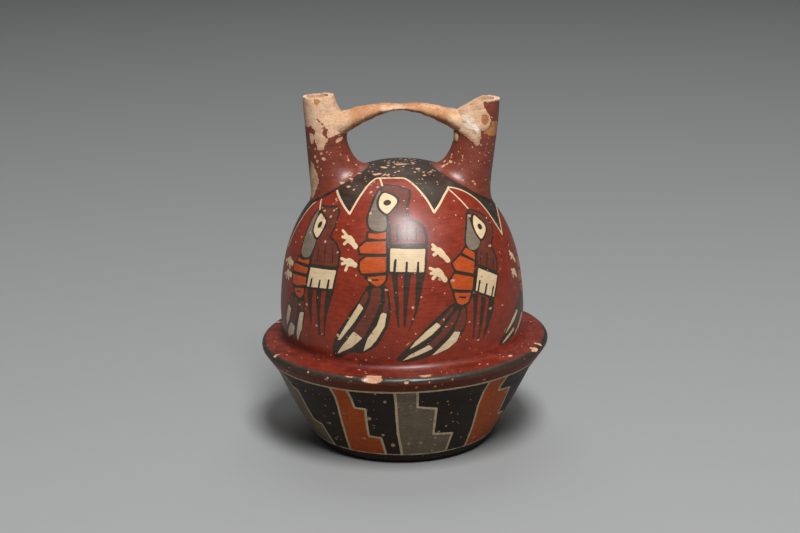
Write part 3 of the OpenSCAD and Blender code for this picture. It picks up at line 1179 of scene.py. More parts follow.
# The figures all round: which one, its upright line, and how much it is squeezed up and across
ROUND = (
    (FRONT_FIGURE, -6.7, 1.0, 1.0), (RIGHT_FIGURE, 38.6, 1.0, 1.0), (LEFT_FIGURE, -49.0, 1.0, 1.0),
    (RIGHT_FIGURE, 87.5, 0.78, 0.9), (LEFT_FIGURE, 131.0, 0.92, 0.9), (FRONT_FIGURE, 173.0, 0.97, 0.92),
    (RIGHT_FIGURE, 216.0, 0.98, 0.86), (LEFT_FIGURE, 259.0, 0.84, 0.85),
)
FIGURES = tuple(replace(figure, centre=turn, rise=up, spread=wide) for figure, turn, up, wide in ROUND)

# The cream zigzag that edges the black crown: one arch after another, as degrees round and
# millimetres up the wall, from the valley left of the left figure round to itself
ARCHES: tuple[Outline, ...] = (
    ((-85, 45), (-82, 47.5), (-79.5, 60), (-77.5, 71), (-71, 79), (-65.3, 85.6)),
    ((-65.3, 85.6), (-55, 82.3), (-44, 78), (-34.4, 73.4)),
    (
        (-34.4, 73.4), (-34, 79), (-33.6, 86), (-33.2, 92.8), (-31.6, 97), (-28.5, 99), (-15, 99.8),
        (1.4, 100.2), (8.8, 97.8), (14.1, 93.1), (18.5, 86.2), (20.6, 80.6), (21.9, 75),
    ),
    ((21.9, 75), (27.5, 79), (36, 84.4), (46.7, 88.9)),
    ((46.7, 88.9), (54, 86.6), (60.1, 82.4), (64.2, 76.3), (65.6, 69), (66.6, 61.5), (68.4, 54.8)),
    ((68.4, 54.8), (74, 60.5), (82, 65), (92, 66), (102, 62), (110, 53)),
    ((110, 53), (114, 62), (122, 72), (133, 77.5), (143, 77), (151, 72.5)),
    ((151, 72.5), (153, 84), (157, 95), (166, 99.4), (180, 99.8), (190, 97), (196, 88), (199, 74)),
    ((199, 74), (206, 81), (216, 84.6), (225, 80), (231, 68), (236, 54)),
    ((236, 54), (243, 62), (252, 68.5), (262, 68), (270, 58), (275, 45)),
)


@dataclass(frozen=True)
class Speck:
    """A spot where the slip has flaked: degrees round, millimetres up, radius, and its stretch."""

    round: float
    up: float
    size: float
    wide: float = 1.0

    def away(self, wall: Wall) -> np.ndarray:
        """Distance from places on a wall to the spot's edge, negative inside."""
        return np.hypot(wall.across(self.round) / self.wide, wall.up - self.up) - self.size


def spots_of(*rows: tuple[float, ...]) -> tuple[Speck, ...]:
    """Flaked spots from rows of their numbers."""
    return tuple(Speck(*row) for row in rows)


@dataclass(frozen=True)
class Strewn:
    """Small flaked spots strewn all round between two heights, from a seed of their own."""

    seed: int
    count: int
    low: float
    high: float
    least: float = 0.22
    spread: float = 0.5

    def specks(self) -> tuple[Speck, ...]:
        """Draws the spots, most of them small."""
        draw = np.random.default_rng(self.seed)
        made = []
        for _ in range(self.count):
            size = self.least + self.spread * draw.random() ** 3
            turn, share = 360 * draw.random(), draw.random()
            made.append(Speck(turn, self.low + (self.high - self.low) * share, size, 1 + draw.random()))
        return tuple(made)


def flaked(wall: Wall, specks: tuple[Speck, ...], reach: float = 2.0) -> np.ndarray:
    """Signed distance to the nearest flaked spot.

    Args:
        wall: Places on the wall.
        specks: The spots.
        reach: How far past a spot's edge its distance still counts.

    Returns:
        The distances, negative inside a spot.
    """
    found = np.full(wall.theta.shape, FAR)
    for speck in specks:
        near = np.abs(wall.up - speck.up) < speck.size + reach
        found[near] = np.minimum(found[near], speck.away(wall.part(near)))
    return found


DOME_SPECKS = spots_of(
    (-32, 103, 0.8, 1.8), (-36, 102, 0.9, 1.6), (-38, 110, 1.0, 2.2), (-37, 113, 0.7, 1.6),
    (-3, 107, 0.7), (35, 108, 0.8, 1.8), (37, 104, 0.6, 1.5), (23, 105, 0.5, 1.8), (41, 101, 0.4),
    (1, 116, 1.1, 3.0), (-60, 116, 0.5), (-47, 104, 0.5, 1.6), (-53, 89, 0.8, 1.6), (-44, 88, 0.8),
    (-56, 89, 0.4), (-57, 93, 0.5), (-45, 91, 0.5), (-44, 97, 0.4), (26, 98, 0.4), (40, 94, 0.4),
    (-24, 102, 0.5), (-18, 102.5, 0.6, 1.4), (-15, 100, 0.6, 2.0), (-9, 100, 0.4, 2.0), (-2, 99.4, 0.4),
    (-26, 88, 0.8), (-23, 86, 0.4), (-22, 92, 0.7), (-20, 75, 0.9), (-29, 96, 0.4), (-30, 93, 0.5),
    (-30, 70, 0.35), (-39, 64, 0.4), (-34, 53, 0.5), (-47, 75, 0.5), (-53, 77, 0.5), (-54, 80, 0.7),
    (-52, 79, 0.6), (-22, 43, 0.6), (17, 86, 0.5), (10, 83, 0.35), (4, 62, 0.45), (6, 60, 0.45),
    (-5, 26, 0.35), (5, 28, 0.75), (6, 15, 0.55), (-36, 5, 0.4), (-35, 1, 0.45), (-22, 0.6, 0.5),
    (-17, 0.8, 0.6), (-30, 12, 0.9), (14, 36, 0.35), (41, 80, 0.6), (36, 72, 0.5), (24, 72, 0.35),
    (46, 70, 0.9), (60, 66, 0.6), (61, 63, 0.45), (57, 52, 0.35), (71, 48, 0.35), (18, 41, 0.75),
    (20, 34, 0.4), (19, 21, 0.6), (5, 4, 0.55), (-48, 70, 0.7), (-54, 68, 0.9), (-59, 59, 0.7),
    (-44, 57, 0.75), (-72, 57, 0.5), (-71, 51, 0.6), (-66, 55, 0.6), (-41, 68, 0.4), (-42, 29, 0.45),
    (-39, 11, 0.35), (-51, 11, 0.35), (-61, 73, 0.45),
)

BOWL_SPECKS = spots_of(
    (-12, 46.4, 0.8), (-8.4, 41.2, 0.9), (-19.8, 41, 0.5), (-16, 30, 1.1), (-10.3, 19.6, 0.8),
    (-5.6, 13, 1.1), (3, 14, 0.8), (17, 16.5, 0.7), (22, 31.8, 0.6), (25.6, 30.5, 0.5), (18.7, 39.4, 0.5),
    (19.5, 37.4, 0.5), (-49, 39.5, 0.6), (-28.6, 31.2, 0.4), (40.6, 36.4, 0.4), (17.8, 11.6, 0.5),
    (33, 13.8, 0.5), (21.4, 23.7, 0.5), (4.2, 50.8, 0.7), (11.4, 50.6, 0.8), (30, 38, 0.45), (9, 43, 0.4),
    (27, 25, 0.4),
)


# Strewn spots of the dome, its crown, the bowl, the ledge's nose, and each spout
DOME_STREWN = Strewn(3, 230, 2, 96)
CROWN_STREWN = Strewn(5, 210, 92, 121)
BOWL_STREWN = Strewn(7, 170, 7, 47)
NOSE_STREWN = Strewn(9, 50, 47, 55)
SPOUT_STREWN = {Side.LEFT: Strewn(30, 60, -3, 27), Side.RIGHT: Strewn(32, 60, -3, 27)}

# Ripples that the potter's hand left in the chamber
POTTERS_DENTS = (
    Wave(0.14, 3, 1 / 23, 1.3), Wave(0.09, 5, -1 / 15, -0.7), Wave(0.05, 9, 1 / 9),
    Wave(0.04, 14, -1 / 6, 2),
)

LIP_CHIPS = spots_of(
    (-12.5, 55.0, 1.5, 3.2), (8, 56.0, 0.35, 7.0), (0.5, 54.0, 0.7, 1.8), (9, 53.6, 0.4, 1.2),
    (18, 53.9, 0.45, 1.2), (4.5, 51.4, 0.5), (14, 51.6, 0.5), (64, 55.2, 0.9, 2.4), (70, 55.5, 0.7, 1.6),
    (118, 55, 1.0, 2.2), (163, 55.4, 0.8, 2.6), (205, 54.8, 1.2, 2.0), (251, 55.3, 0.8, 2.0),
    (-63, 55.3, 0.6, 1.6), (-40, 54.6, 0.5, 1.4),
)

LEDGE_SPECKS = spots_of(
    (50, 6.5, 0.8, 1.6), (47, 5.0, 0.5), (-20, 3.2, 0.5), (-17, 4.4, 0.45), (-16, 6.2, 0.5),
    (15, 6.0, 0.4), (33, 5.4, 0.6), (36, 7.2, 0.5), (63, 4.2, 0.45), (100, 6, 0.6), (140, 5, 0.5),
    (190, 7, 0.7, 1.8), (230, 4, 0.5), (280, 6, 0.6), (-60, 6.4, 0.5), (-35, 7.4, 0.35),
)


@dataclass(frozen=True)
class Panel:
    """A stepped panel of the bowl: where it starts, its colour, and its corners from there."""

    start: float
    colour: Layer
    outline: Outline
    middle: float = 14.0
    reach: float = 34.0
    line_z: float = 26.9
    line_tall: float = 21.0


NARROW_STEPS = (
    (0, 47.9), (0.8, 35), (0.2, 22), (-1.8, 5.9), (21.2, 5.9), (19.9, 17.5), (13.6, 18.2), (14.1, 35.8),
    (9, 36.2), (7.7, 47.9),
)
BROAD_STEPS = (
    (0, 47.9), (0.7, 35), (1.6, 20.6), (3.4, 5.9), (30, 5.9), (30.3, 18.1), (19.7, 19.4), (18.4, 35.7),
    (9.8, 37.5), (9, 47.9),
)
LEANING_STEPS = (
    (0, 47.9), (-0.5, 33), (1.6, 21), (3.3, 5.9), (31.6, 5.9), (30.6, 19.2), (21.8, 21.2), (18.5, 37.4),
    (9.5, 38.8), (9.8, 47.9),
)
SLANTED_STEPS = (
    (0, 47.9), (0.8, 35), (0.4, 22), (-0.6, 5.9), (25.5, 5.9), (24, 19), (17.5, 20.5), (15.5, 37.3),
    (10.5, 38.5), (7, 47.9),
)
PANELS = (
    Panel(-71, Layer.GREY, SLANTED_STEPS), Panel(-31.5, Layer.ORANGE, NARROW_STEPS),
    Panel(-4.2, Layer.GREY, BROAD_STEPS), Panel(36.4, Layer.ORANGE, LEANING_STEPS),
    Panel(75, Layer.GREY, SLANTED_STEPS), Panel(111, Layer.ORANGE, NARROW_STEPS),
    Panel(144, Layer.GREY, BROAD_STEPS), Panel(182, Layer.ORANGE, NARROW_STEPS),
    Panel(216, Layer.GREY, SLANTED_STEPS), Panel(252, Layer.ORANGE, NARROW_STEPS),
)


# The chamber


@dataclass
class Chamber:
    """The chamber that holds the drink: foot slab, bowl, ledge, dome wall and crown."""

    foot_r: float = 42.0
    slab_r: float = 49.0
    slab_h: float = 6.0
    bowl_top_r: float = 67.0
    bowl_top_z: float = 41.0
    bowl_wall: float = 6.0
    bowl_belly: float = 0.8
    lip_r: float = 75.0
    lip_round: float = 2.4
    ledge_z: float = 55.8
    sweep: float = 3.6
    seat_z: float = 60.1
    groove_r: float = 66.0
    dome_r: float = 63.6
    dome_h: float = 92.4
    dome_wall: float = 5.0
    dome_power: float = 3.0
    tuck: float = 1.0
    tuck_h: float = 15.0
    crown_z: float = 117.8
    lip_shift: float = 1.2
    lip_tilt: float = 1.05
    tilt_starts: Point = (18.0, 50.0)
    tilt_ends: Point = (57.0, 64.0)
    band_top: float = 47.5
    band_low: float = 6.3
    # Top of the darker red under the nose, which is partly painted shade
    dark_top: float = 53.1
    chip_deep: float = 0.7
    chip_slope: float = 0.6
    lip_wide: float = 4.5
    arris: Point = (1.4, 0.5)
    rub_seed: int = 21
    rub_turns: tuple[int, int] = (3, 60)
    rub_most: float = 0.75
    line_reach: float = 5.0
    line_thick: float = 0.55
    low_line_thick: float = 0.32
    panel_line_thick: float = 0.63
    slope_rise: float = 0.687
    skin: float = 1.0
    columns: int = 720
    row: float = 0.54
    curve: np.ndarray = field(init=False)

    def __post_init__(self) -> None:
        """Works out the dome's curve once: distance up the wall, radius and height."""
        first = math.asin(((self.seat_z - self.ledge_z) / self.dome_h) ** (self.dome_power / 2))
        angle = np.linspace(first, math.pi / 2, 4000)
        height = self.ledge_z + self.dome_h * np.sin(angle) ** (2 / self.dome_power)
        drawn = self.tuck * np.maximum(0, 1 - (height - self.seat_z) / self.tuck_h) ** 2
        radius = self.dome_r * np.cos(angle) - drawn
        steps = np.hypot(np.diff(radius), np.diff(height))
        self.curve = np.stack([np.concatenate([[0], np.cumsum(steps)]), radius, height])

    def bowl_radius(self, z: np.ndarray) -> np.ndarray:
        """Radius of the bowl's and the ledge's outer slope at height z.

        Args:
            z: Heights.

        Returns:
            The radii.
        """
        share = (z - self.slab_h) / (self.bowl_top_z - self.slab_h)
        bowl = self.slab_r + (self.bowl_top_r - self.slab_r) * share
        bowl = bowl + self.bowl_belly * 4 * share * (1 - share)
        slope = self.bowl_top_r + (z - self.bowl_top_z) * self.slope_rise
        return np.where(z < self.bowl_top_z, bowl, slope)

    def dome_stretch(self, start: float, end: float) -> list[Point]:
        """Points of the dome's outer curve between two distances up the wall.

        Args:
            start: Where the stretch starts.
            end: Where it ends.

        Returns:
            Radius and height of each point.
        """
        count = max(2, round((end - start) / self.row))
        ways = np.linspace(start, end, count + 1)
        radii, heights = (np.interp(ways, self.curve[0], self.curve[i]) for i in (1, 2))
        return [(float(r), float(z)) for r, z in zip(radii, heights)]

    def dome_height(self, distance: float, sunk: float = 0.0) -> float:
        """Height of the dome over a point at some distance from the axis."""
        share = min(1.0, distance / (self.dome_r - sunk))
        return self.ledge_z + (self.dome_h - sunk) * (1 - share**2) ** (1 / self.dome_power)

    def hand_made(self, spots: np.ndarray) -> np.ndarray:
        """Moves places as the potter's hand left them: a ledge a little off true, and soft dents.

        Args:
            spots: Places on the turned shape.

        Returns:
            The places on the real one.
        """
        x, y, z = spots.T
        theta = np.arctan2(x, -y)
        radius = np.hypot(x, y)
        ledge = smooth_step(*self.tilt_starts, z) * (1 - smooth_step(*self.tilt_ends, z))
        swell = ripple(POTTERS_DENTS, theta, z) * np.clip(radius / 40, 0, 1) * smooth_step(1, 8, z)
        grown = 1 + swell / np.maximum(radius, 1.0)
        lift = self.lip_tilt * (x / self.lip_r) * ledge
        return np.stack([x * grown + self.lip_shift * ledge, y * grown, z + lift], axis=1)

    def zigzag(self, wall: Wall) -> np.ndarray:
        """Signed distance to the crown's zigzag edge, negative in the black.

        Args:
            wall: Places on the dome.

        Returns:
            The distances.
        """
        line = [p for arch in ARCHES for p in rounded(arch, 5, closed=False)[:-1]]
        line.append(ARCHES[-1][-1])
        turns, heights = zip(*line)
        edge = np.interp((wall.theta - turns[0]) % 360 + turns[0], turns, heights)
        found = np.full(wall.theta.shape, FAR)
        for first, second in zip(line, line[1:]):
            low, high = sorted((first[1], second[1]))
            near = (wall.up > low - self.line_reach) & (wall.up < high + self.line_reach)
            place = wall.part(near)
            end = (second[0] - first[0], second[1])
            scale = np.radians(1) * place.radius
            away = segment_distance(place.across(first[0]), place.up, (0.0, first[1]), end, scale)
            found[near] = np.minimum(found[near], away)
        return np.where(wall.up > edge, -found, found)

    def dome_fields(self, spots: np.ndarray) -> Fields:
        """Painted distances of the dome wall and the crown.

        Args:
            spots: Places on the turned shape.

        Returns:
            The distances, for each layer.
        """
        turned_wall = Wall.through(spots)
        wall = replace(turned_wall, up=np.interp(turned_wall.up, self.curve[2], self.curve[0]))
        fields = wall.blank(FIGURE_LAYERS)
        for figure in FIGURES:
            figure.paint(wall, fields)
        crown = self.zigzag(wall)
        for layer in FIGURE_LAYERS:
            fields[layer] = np.maximum(fields[layer], -crown)
        fields[Layer.CREAM] = np.minimum(fields[Layer.CREAM], np.abs(crown) - self.line_thick)
        fields[Layer.CROWN] = crown
        fields[Layer.SPALL] = flaked(wall, DOME_SPECKS + DOME_STREWN.specks() + CROWN_STREWN.specks())
        return fields

    def on_slope(self, wall: Wall) -> np.ndarray:
        """Whether each place is on the outer slope of the bowl or the ledge."""
        return wall.radius > self.bowl_radius(wall.up) - self.skin

    def bowl_fields(self, spots: np.ndarray) -> Fields:
        """Painted distances of the bowl and of the ledge.

        Args:
            spots: Places on the turned shape.

        Returns:
            The distances, for each layer.
        """
        wall = Wall.through(spots)
        fields = wall.blank((Layer.ORANGE, Layer.GREY, Layer.CREAM, Layer.BAND, Layer.DARK))
        for panel in PANELS:
            near = np.abs(turned(wall.theta, panel.start) - panel.middle) < panel.reach
            place = wall.part(near)
            scale = np.radians(1) * place.radius
            edge = outline_distance(place.across(panel.start), place.up, panel.outline, scale)
            ends = np.abs(place.up - panel.line_z) - panel.line_tall
            line = np.maximum(np.abs(edge) - self.panel_line_thick, ends)
            for layer, away in ((panel.colour, edge), (Layer.CREAM, line)):
                fields[layer][near] = np.minimum(fields[layer][near], away)
        for height, thick in ((self.band_top, self.line_thick), (self.band_low, self.low_line_thick)):
            fields[Layer.CREAM] = np.minimum(fields[Layer.CREAM], np.abs(wall.up - height) - thick)
        # The black band, and above it the darker red under the lip's nose, which is partly painted shade
        for layer, top in ((Layer.BAND, self.band_top), (Layer.DARK, self.dark_top)):
            fields[layer] = np.where(self.on_slope(wall), wall.up - top, FAR)
        nose = np.maximum(self.dark_top - wall.up, self.lip_r - self.lip_round + 0.4 - wall.radius)
        fields[Layer.INK] = np.where(wall.up < self.dark_top - 3, FAR, nose)
        fields[Layer.SPALL] = flaked(wall, BOWL_SPECKS + BOWL_STREWN.specks() + NOSE_STREWN.specks())
        return fields

    def dress(
        self,
        piece: bpy.types.Object,
        paint: Callable[[np.ndarray], Fields],
        slot: Slot,
        finish: bpy.types.Material,
        node: str,
    ) -> None:
        """Paints a turned piece, moves it as the potter's hand left it, and seats it.

        Args:
            piece: The turned piece.
            paint: Works out its painted distances.
            slot: The record's slot of its finish.
            finish: Its finish.
            node: The CAD node that it stands for.
        """
        spots = places(piece)
        keep_fields(piece, paint(spots))
        move_places(piece, self.hand_made(spots))
        seat(piece, slot, [finish], node)

    def build_foot(self, finish: bpy.types.Material) -> None:
        """Foot slab: the pancake of clay that the bottle stands on."""
        count = 12
        low, high = Vector((self.foot_r, 0.0)), Vector((self.slab_r, self.slab_h))
        edge = Vector((self.foot_r + 0.6 * (self.slab_r - self.foot_r), 0.6))
        side = [tuple(bezier(i / count, low, edge, high)) for i in range(count + 1)]
        under = [(self.foot_r * i / count, 0.0) for i in range(count)]
        piece = finish_mesh(revolve([*under, *side, (0.0, self.slab_h)], self.columns), "foot_slab")
        self.dress(piece, self.bowl_fields, Slot.BOWL, finish, "base_slab")

    def build_bowl(self, finish: bpy.types.Material) -> None:
        """Bowl wall with its band of stepped panels."""
        rows = round((self.bowl_top_z - self.slab_h) / self.row)
        heights = np.linspace(self.slab_h, self.bowl_top_z, rows + 1)
        outer = [(float(self.bowl_radius(z)), float(z)) for z in heights]
        inner = [(r - self.bowl_wall, z) for r, z in outer[:: -max(1, rows // 6)]]
        piece = finish_mesh(revolve([*outer, *inner], self.columns), "painted_bowl")
        self.dress(piece, self.bowl_fields, Slot.BOWL, finish, "bowl_wall")

    def ledge_profile(self) -> list[Point]:
        """Corners of the ledge's section: slope, rounded nose, top, thumbed sweep and inside.

        Returns:
            Radius and height of each corner.
        """
        middle = (self.lip_r - self.lip_round, self.ledge_z - self.lip_round)
        nose = arc(middle, self.lip_round, -38, 90, 15)
        slope = np.linspace((self.bowl_top_r, self.bowl_top_z), nose[0], 22)[:-1]
        bend = arc((self.curve[1][0] + self.sweep, self.seat_z), self.sweep, 270, 180, 14)
        top = np.linspace(nose[-1], bend[0], 12)[1:-1]
        inner_r = self.dome_r - self.dome_wall - 1.0
        rise = self.ledge_z - self.bowl_top_z
        inside = [
            (inner_r, self.seat_z),
            (inner_r, self.ledge_z + 1.5),
            (self.groove_r, self.bowl_top_z + 0.72 * rise),
            (self.groove_r, self.bowl_top_z + 0.45 * rise),
            (self.bowl_top_r - self.bowl_wall, self.bowl_top_z),
        ]
        return [(float(r), float(z)) for r, z in [*slope, *nose, *top, *bend, *inside]]

    def rubbed(self, wall: Wall) -> np.ndarray:
        """Signed distance to the bare clay along the lip's rubbed arris.

        Args:
            wall: Places on the ledge.

        Returns:
            The distances, negative where it is rubbed through.
        """
        inward, down = self.arris
        arris = np.hypot(wall.radius - self.lip_r + inward, wall.up - self.ledge_z + down)
        draw = np.random.default_rng(self.rub_seed)
        worn = np.zeros(wall.theta.shape)
        for turn in range(*self.rub_turns):
            height = draw.normal() / turn**0.6
            worn += height * np.sin(np.radians(wall.theta) * turn + 6.3 * draw.random())
        return arris - np.clip(worn * 0.5 - 0.55, -3.0, self.rub_most)

    def build_ledge(self, finish: bpy.types.Material, under: bpy.types.Material) -> None:
        """Ledge with its chipped and rubbed lip.

        Args:
            finish: Finish of its top, nose and inside.
            under: Finish of the slope under its nose.
        """
        piece = finish_mesh(revolve(self.ledge_profile(), self.columns), "ledge_and_lip")
        spots = places(piece)
        fields = self.bowl_fields(spots)
        wall = Wall.through(spots)
        on_lip = wall.radius > self.lip_r - self.lip_wide
        chips = [np.where(on_lip, chip.away(wall), FAR) for chip in LIP_CHIPS]
        on_top = (wall.radius < self.lip_r - self.lip_round) & (wall.up > self.ledge_z - 1)
        top = replace(wall, up=np.where(on_top, wall.radius - self.curve[1][0], FAR))
        flakes = [speck.away(top) for speck in LEDGE_SPECKS]
        fields[Layer.SPALL] = np.minimum.reduce([fields[Layer.SPALL], self.rubbed(wall), *chips, *flakes])
        keep_fields(piece, fields)
        sunk = self.chip_deep * smooth_step(0.4, -0.8, np.minimum.reduce(chips))
        inward = -spots / wall.radius[:, None]
        inward[:, 2] = -self.chip_slope
        move_places(piece, self.hand_made(spots) + inward * sunk[:, None])
        seat(piece, Slot.RED, [finish, under], "ledge_ring")
        slope = (wall.up < self.dark_top) & self.on_slope(wall)
        for face in piece.data.polygons:
            face.material_index = int(all(slope[v] for v in face.vertices))

    def seam(self) -> float:
        """Distance up the wall at which the crown closes it."""
        return float(np.interp(self.crown_z, self.curve[2], self.curve[0]))

    def inner_stretch(self, low: float, high: float, count: int) -> list[Point]:
        """Points of the dome's inner face, from the top down.

        Args:
            low: Lowest height.
            high: Highest height.
            count: How many stretches.

        Returns:
            Radius and height of each point.
        """
        tall = self.dome_h - self.dome_wall
        start = math.asin(((low - self.ledge_z) / tall) ** (self.dome_power / 2))
        end = math.asin(min(1.0, ((high - self.ledge_z) / tall)) ** (self.dome_power / 2))
        made = []
        for angle in np.linspace(end, start, count + 1):
            radius = (self.dome_r - self.dome_wall) * math.cos(angle)
            made.append((max(0.0, radius), self.ledge_z + tall * math.sin(angle) ** (2 / self.dome_power)))
        return made

    def build_wall(self, finish: bpy.types.Material) -> None:
        """Dome wall with the painted figures."""
        outer = self.dome_stretch(0.0, self.seam())
        inner = self.inner_stretch(self.seat_z, self.crown_z, 6)
        piece = finish_mesh(revolve([*outer, *inner], self.columns), "painted_dome_wall")
        self.dress(piece, self.dome_fields, Slot.RED, finish, "dome_wall")

    def build_crown(self, finish: bpy.types.Material, cutters: list[bpy.types.Object]) -> None:
        """Crown slab, pierced under both spouts.

        Args:
            finish: Its finish.
            cutters: Solids that pierce it, which are used up.
        """
        outer = self.dome_stretch(self.seam(), float(self.curve[0][-1]))
        outer[-1] = (0.0, outer[-1][1])
        inner = self.inner_stretch(self.crown_z, self.ledge_z + self.dome_h - self.dome_wall, 8)
        inner[0] = (0.0, inner[0][1])
        piece = finish_mesh(revolve([*inner, *outer], self.columns), "painted_crown")
        for cutter in cutters:
            carve(piece, cutter)
        self.dress(piece, self.dome_fields, Slot.BLACK, finish, "dome_crown")


# Spouts

# Ripples of a spout's broken rim and of its wall, and the lumps of the bridge
RIM_RIPPLES = (Wave(1.0, 3, phase=1.0), Wave(0.6, 7, phase=2.0), Wave(0.5, 17))
TUBE_RIPPLES = (Wave(0.1, 2, 1 / 9, 0.4),)
BRIDGE_LUMPS = (Wave(0.12, 2, 0.9), Wave(0.1, -3, 0.37, 1.0), Wave(0.07, 5, 1.9))


@dataclass(frozen=True)
class SpoutWear:
    """Where a spout has lost its slip, as degrees round it and millimetres above its foot."""

    edge: Outline
    patches: tuple[Outline, ...] = ()
    remains: tuple[Outline, ...] = ()
    stains: tuple[Outline, ...] = ()
    specks: tuple[Speck, ...] = ()
    girth: float = 9.5

    def away(self, wall: Wall, shape: Outline) -> np.ndarray:
        """Signed distance from places on the spout to an outline, negative inside."""
        scale = math.radians(1) * self.girth
        return outline_distance(wall.theta * scale, wall.up, shape, scale)

    def bare(self, wall: Wall) -> np.ndarray:
        """Signed distance to the bare clay.

        Args:
            wall: Places on the spout.

        Returns:
            The distances, negative in the clay.
        """
        found = np.full(wall.theta.shape, FAR)
        if self.edge:
            found = self.away(wall, ((180, 90), (-180, 90), *self.edge))
        for shape in self.remains:
            found = np.maximum(found, -self.away(wall, shape))
        for shape in self.patches:
            found = np.minimum(found, self.away(wall, shape))
        return found

    def stained(self, wall: Wall) -> np.ndarray:
        """Signed distance to the brown stains, negative in them."""
        return np.min([self.away(wall, shape) for shape in self.stains], axis=0)


LEFT_WEAR = SpoutWear(
    edge=(
        (-180, 29), (-120, 31), (-90, 30), (-66, 31.2), (-56, 30.6), (-43, 31.2), (-37, 32.4),
        (-32, 30.4), (-26, 29.6), (-22, 28.4), (-27, 26), (-27, 22.8), (-22, 21.6), (-24, 19.4),
        (-17, 18.9), (-5, 18.9), (0, 21), (9, 23), (12, 24.3), (23, 24.1), (44, 24.8), (60, 25.2),
        (100, 27), (140, 31), (180, 29),
    ),
    patches=(
        ((-54, 13.1), (-45, 11.6), (-36, 7), (-34, 3.9), (-47, -2.2), (-64, -6), (-84, -5), (-72, 6)),
        ((-47, 27.9), (-32, 27.2), (-30, 25.2), (-35, 22.8), (-42, 22.4), (-48, 24.1)),
        ((41, 23), (58, 22.4), (50, 20.8), (33, 20.6), (33, 22.1)),
    ),
    remains=(
        ((-1, 27.6), (5, 29.2), (17, 29), (14, 27.4), (9, 26.4), (13, 24.2), (8, 24), (2, 26)),
        ((-12, 34.5), (-8, 34.9), (9, 31.3), (6, 30.5)), ((0, 29.8), (11, 30.5), (12, 29.7), (3, 29)),
    ),
    stains=(((-16, 43.8), (-6, 44.4), (8, 44), (13, 42.6), (2, 41.4), (-12, 42)),),
    specks=spots_of(
        (-31, 19.6, 0.55), (-14, 17, 0.65, 1.2), (-11, 14.5, 0.7, 1.2), (-35, 15.3, 0.8),
        (-30, 13.3, 0.85), (-31, 10.4, 0.55), (13, 11, 0.45), (38, 14.4, 0.65), (41, 18, 0.5),
        (10, 14, 0.4), (67, 7, 0.5), (-22, 9.1, 0.5), (12, 16.5, 0.35), (2, 17.4, 0.35), (-20, 6.0, 0.4),
        (5, 5.5, 0.35), (24, 3, 0.4), (36, 2, 0.6), (44, 4, 0.4), (120, 12, 0.8), (160, 8, 0.7),
        (200, 14, 0.9), (-120, 18, 0.8),
    ),
)

RIGHT_WEAR = SpoutWear(
    edge=(),
    patches=(
        (
            (-180, 38), (-100, 37), (-47, 37.5), (-8, 42.5), (4, 43), (2, 40.3), (13, 38.4), (26, 35.8),
            (36, 33.5), (36, 30.7), (27, 28.6), (15, 28), (7, 28.2), (7, 23.5), (6, 20.8), (2, 20.2),
            (-6, 21.3), (-26, 23.4), (-54, 25.2), (-100, 26), (-140, 24), (-180, 28),
        ),
        ((150, 37), (181, 38), (181, 28), (158, 24), (146, 29)),
        ((-84, 24), (-60, 23.7), (-53, 21.8), (-57, 19.6), (-84, 19)),
    ),
    stains=(
        (
            (38, 33.3), (61, 32.9), (90, 31.4), (90, 27.2), (58, 25.6), (35, 25.7), (18, 26.9),
            (20, 28.2), (34, 29.4), (37, 31.5),
        ),
        ((9, 36), (19, 35.4), (25, 33.6), (25, 31.8), (18, 30.6), (9, 31.3), (5, 33.5), (5, 35.2)),
    ),
    specks=spots_of(
        (-63, 12.5, 0.65), (-56, 9.0, 0.8, 1.5), (-65, 6.1, 0.8), (-74, 8, 0.8), (37, 35, 0.5),
        (10, 24.4, 0.5), (34, 24.7, 0.4), (14, 20.8, 0.4), (-7, 18.9, 0.45), (-43, 14.9, 0.5),
        (-38, 16.7, 0.35), (-44, 9.3, 0.4), (31, 18.9, 0.3), (15, 12.1, 0.35), (-5, 11.4, 0.4),
        (-60, 11, 0.5), (45, 3.0, 0.5), (71, 1.2, 0.6), (8, 2, 0.5), (14, 0.8, 0.5), (-61, 7.6, 0.6),
        (-28, 13, 0.35), (22, 11, 0.3), (52, 18, 0.35), (120, 16, 0.7), (170, 9, 0.6), (-140, 14, 0.8),
    ),
)

# The pale fill, as places along the bottle and heights, and how far in front it starts
PLASTER_FRONT = -1.5
PLASTER_LOBES = (
    ((32.3, 172), (33.8, 173.1), (36.2, 173), (38, 170.8), (37.6, 169.3), (34.7, 169.4), (32.5, 170.1)),
    (
        (32, 168.2), (34.5, 169), (38, 169), (39.6, 167.3), (40.1, 165.8), (39.1, 163.6), (37.8, 165.4),
        (36, 166), (33, 166.8),
    ),
)


def plaster_field(spots: np.ndarray) -> np.ndarray:
    """Signed distance to the pale fill pressed in at the front of the right weld."""
    away = [outline_distance(spots[:, 0], spots[:, 2], lobe) for lobe in PLASTER_LOBES]
    return np.where(spots[:, 1] < PLASTER_FRONT, np.minimum(*away), FAR)


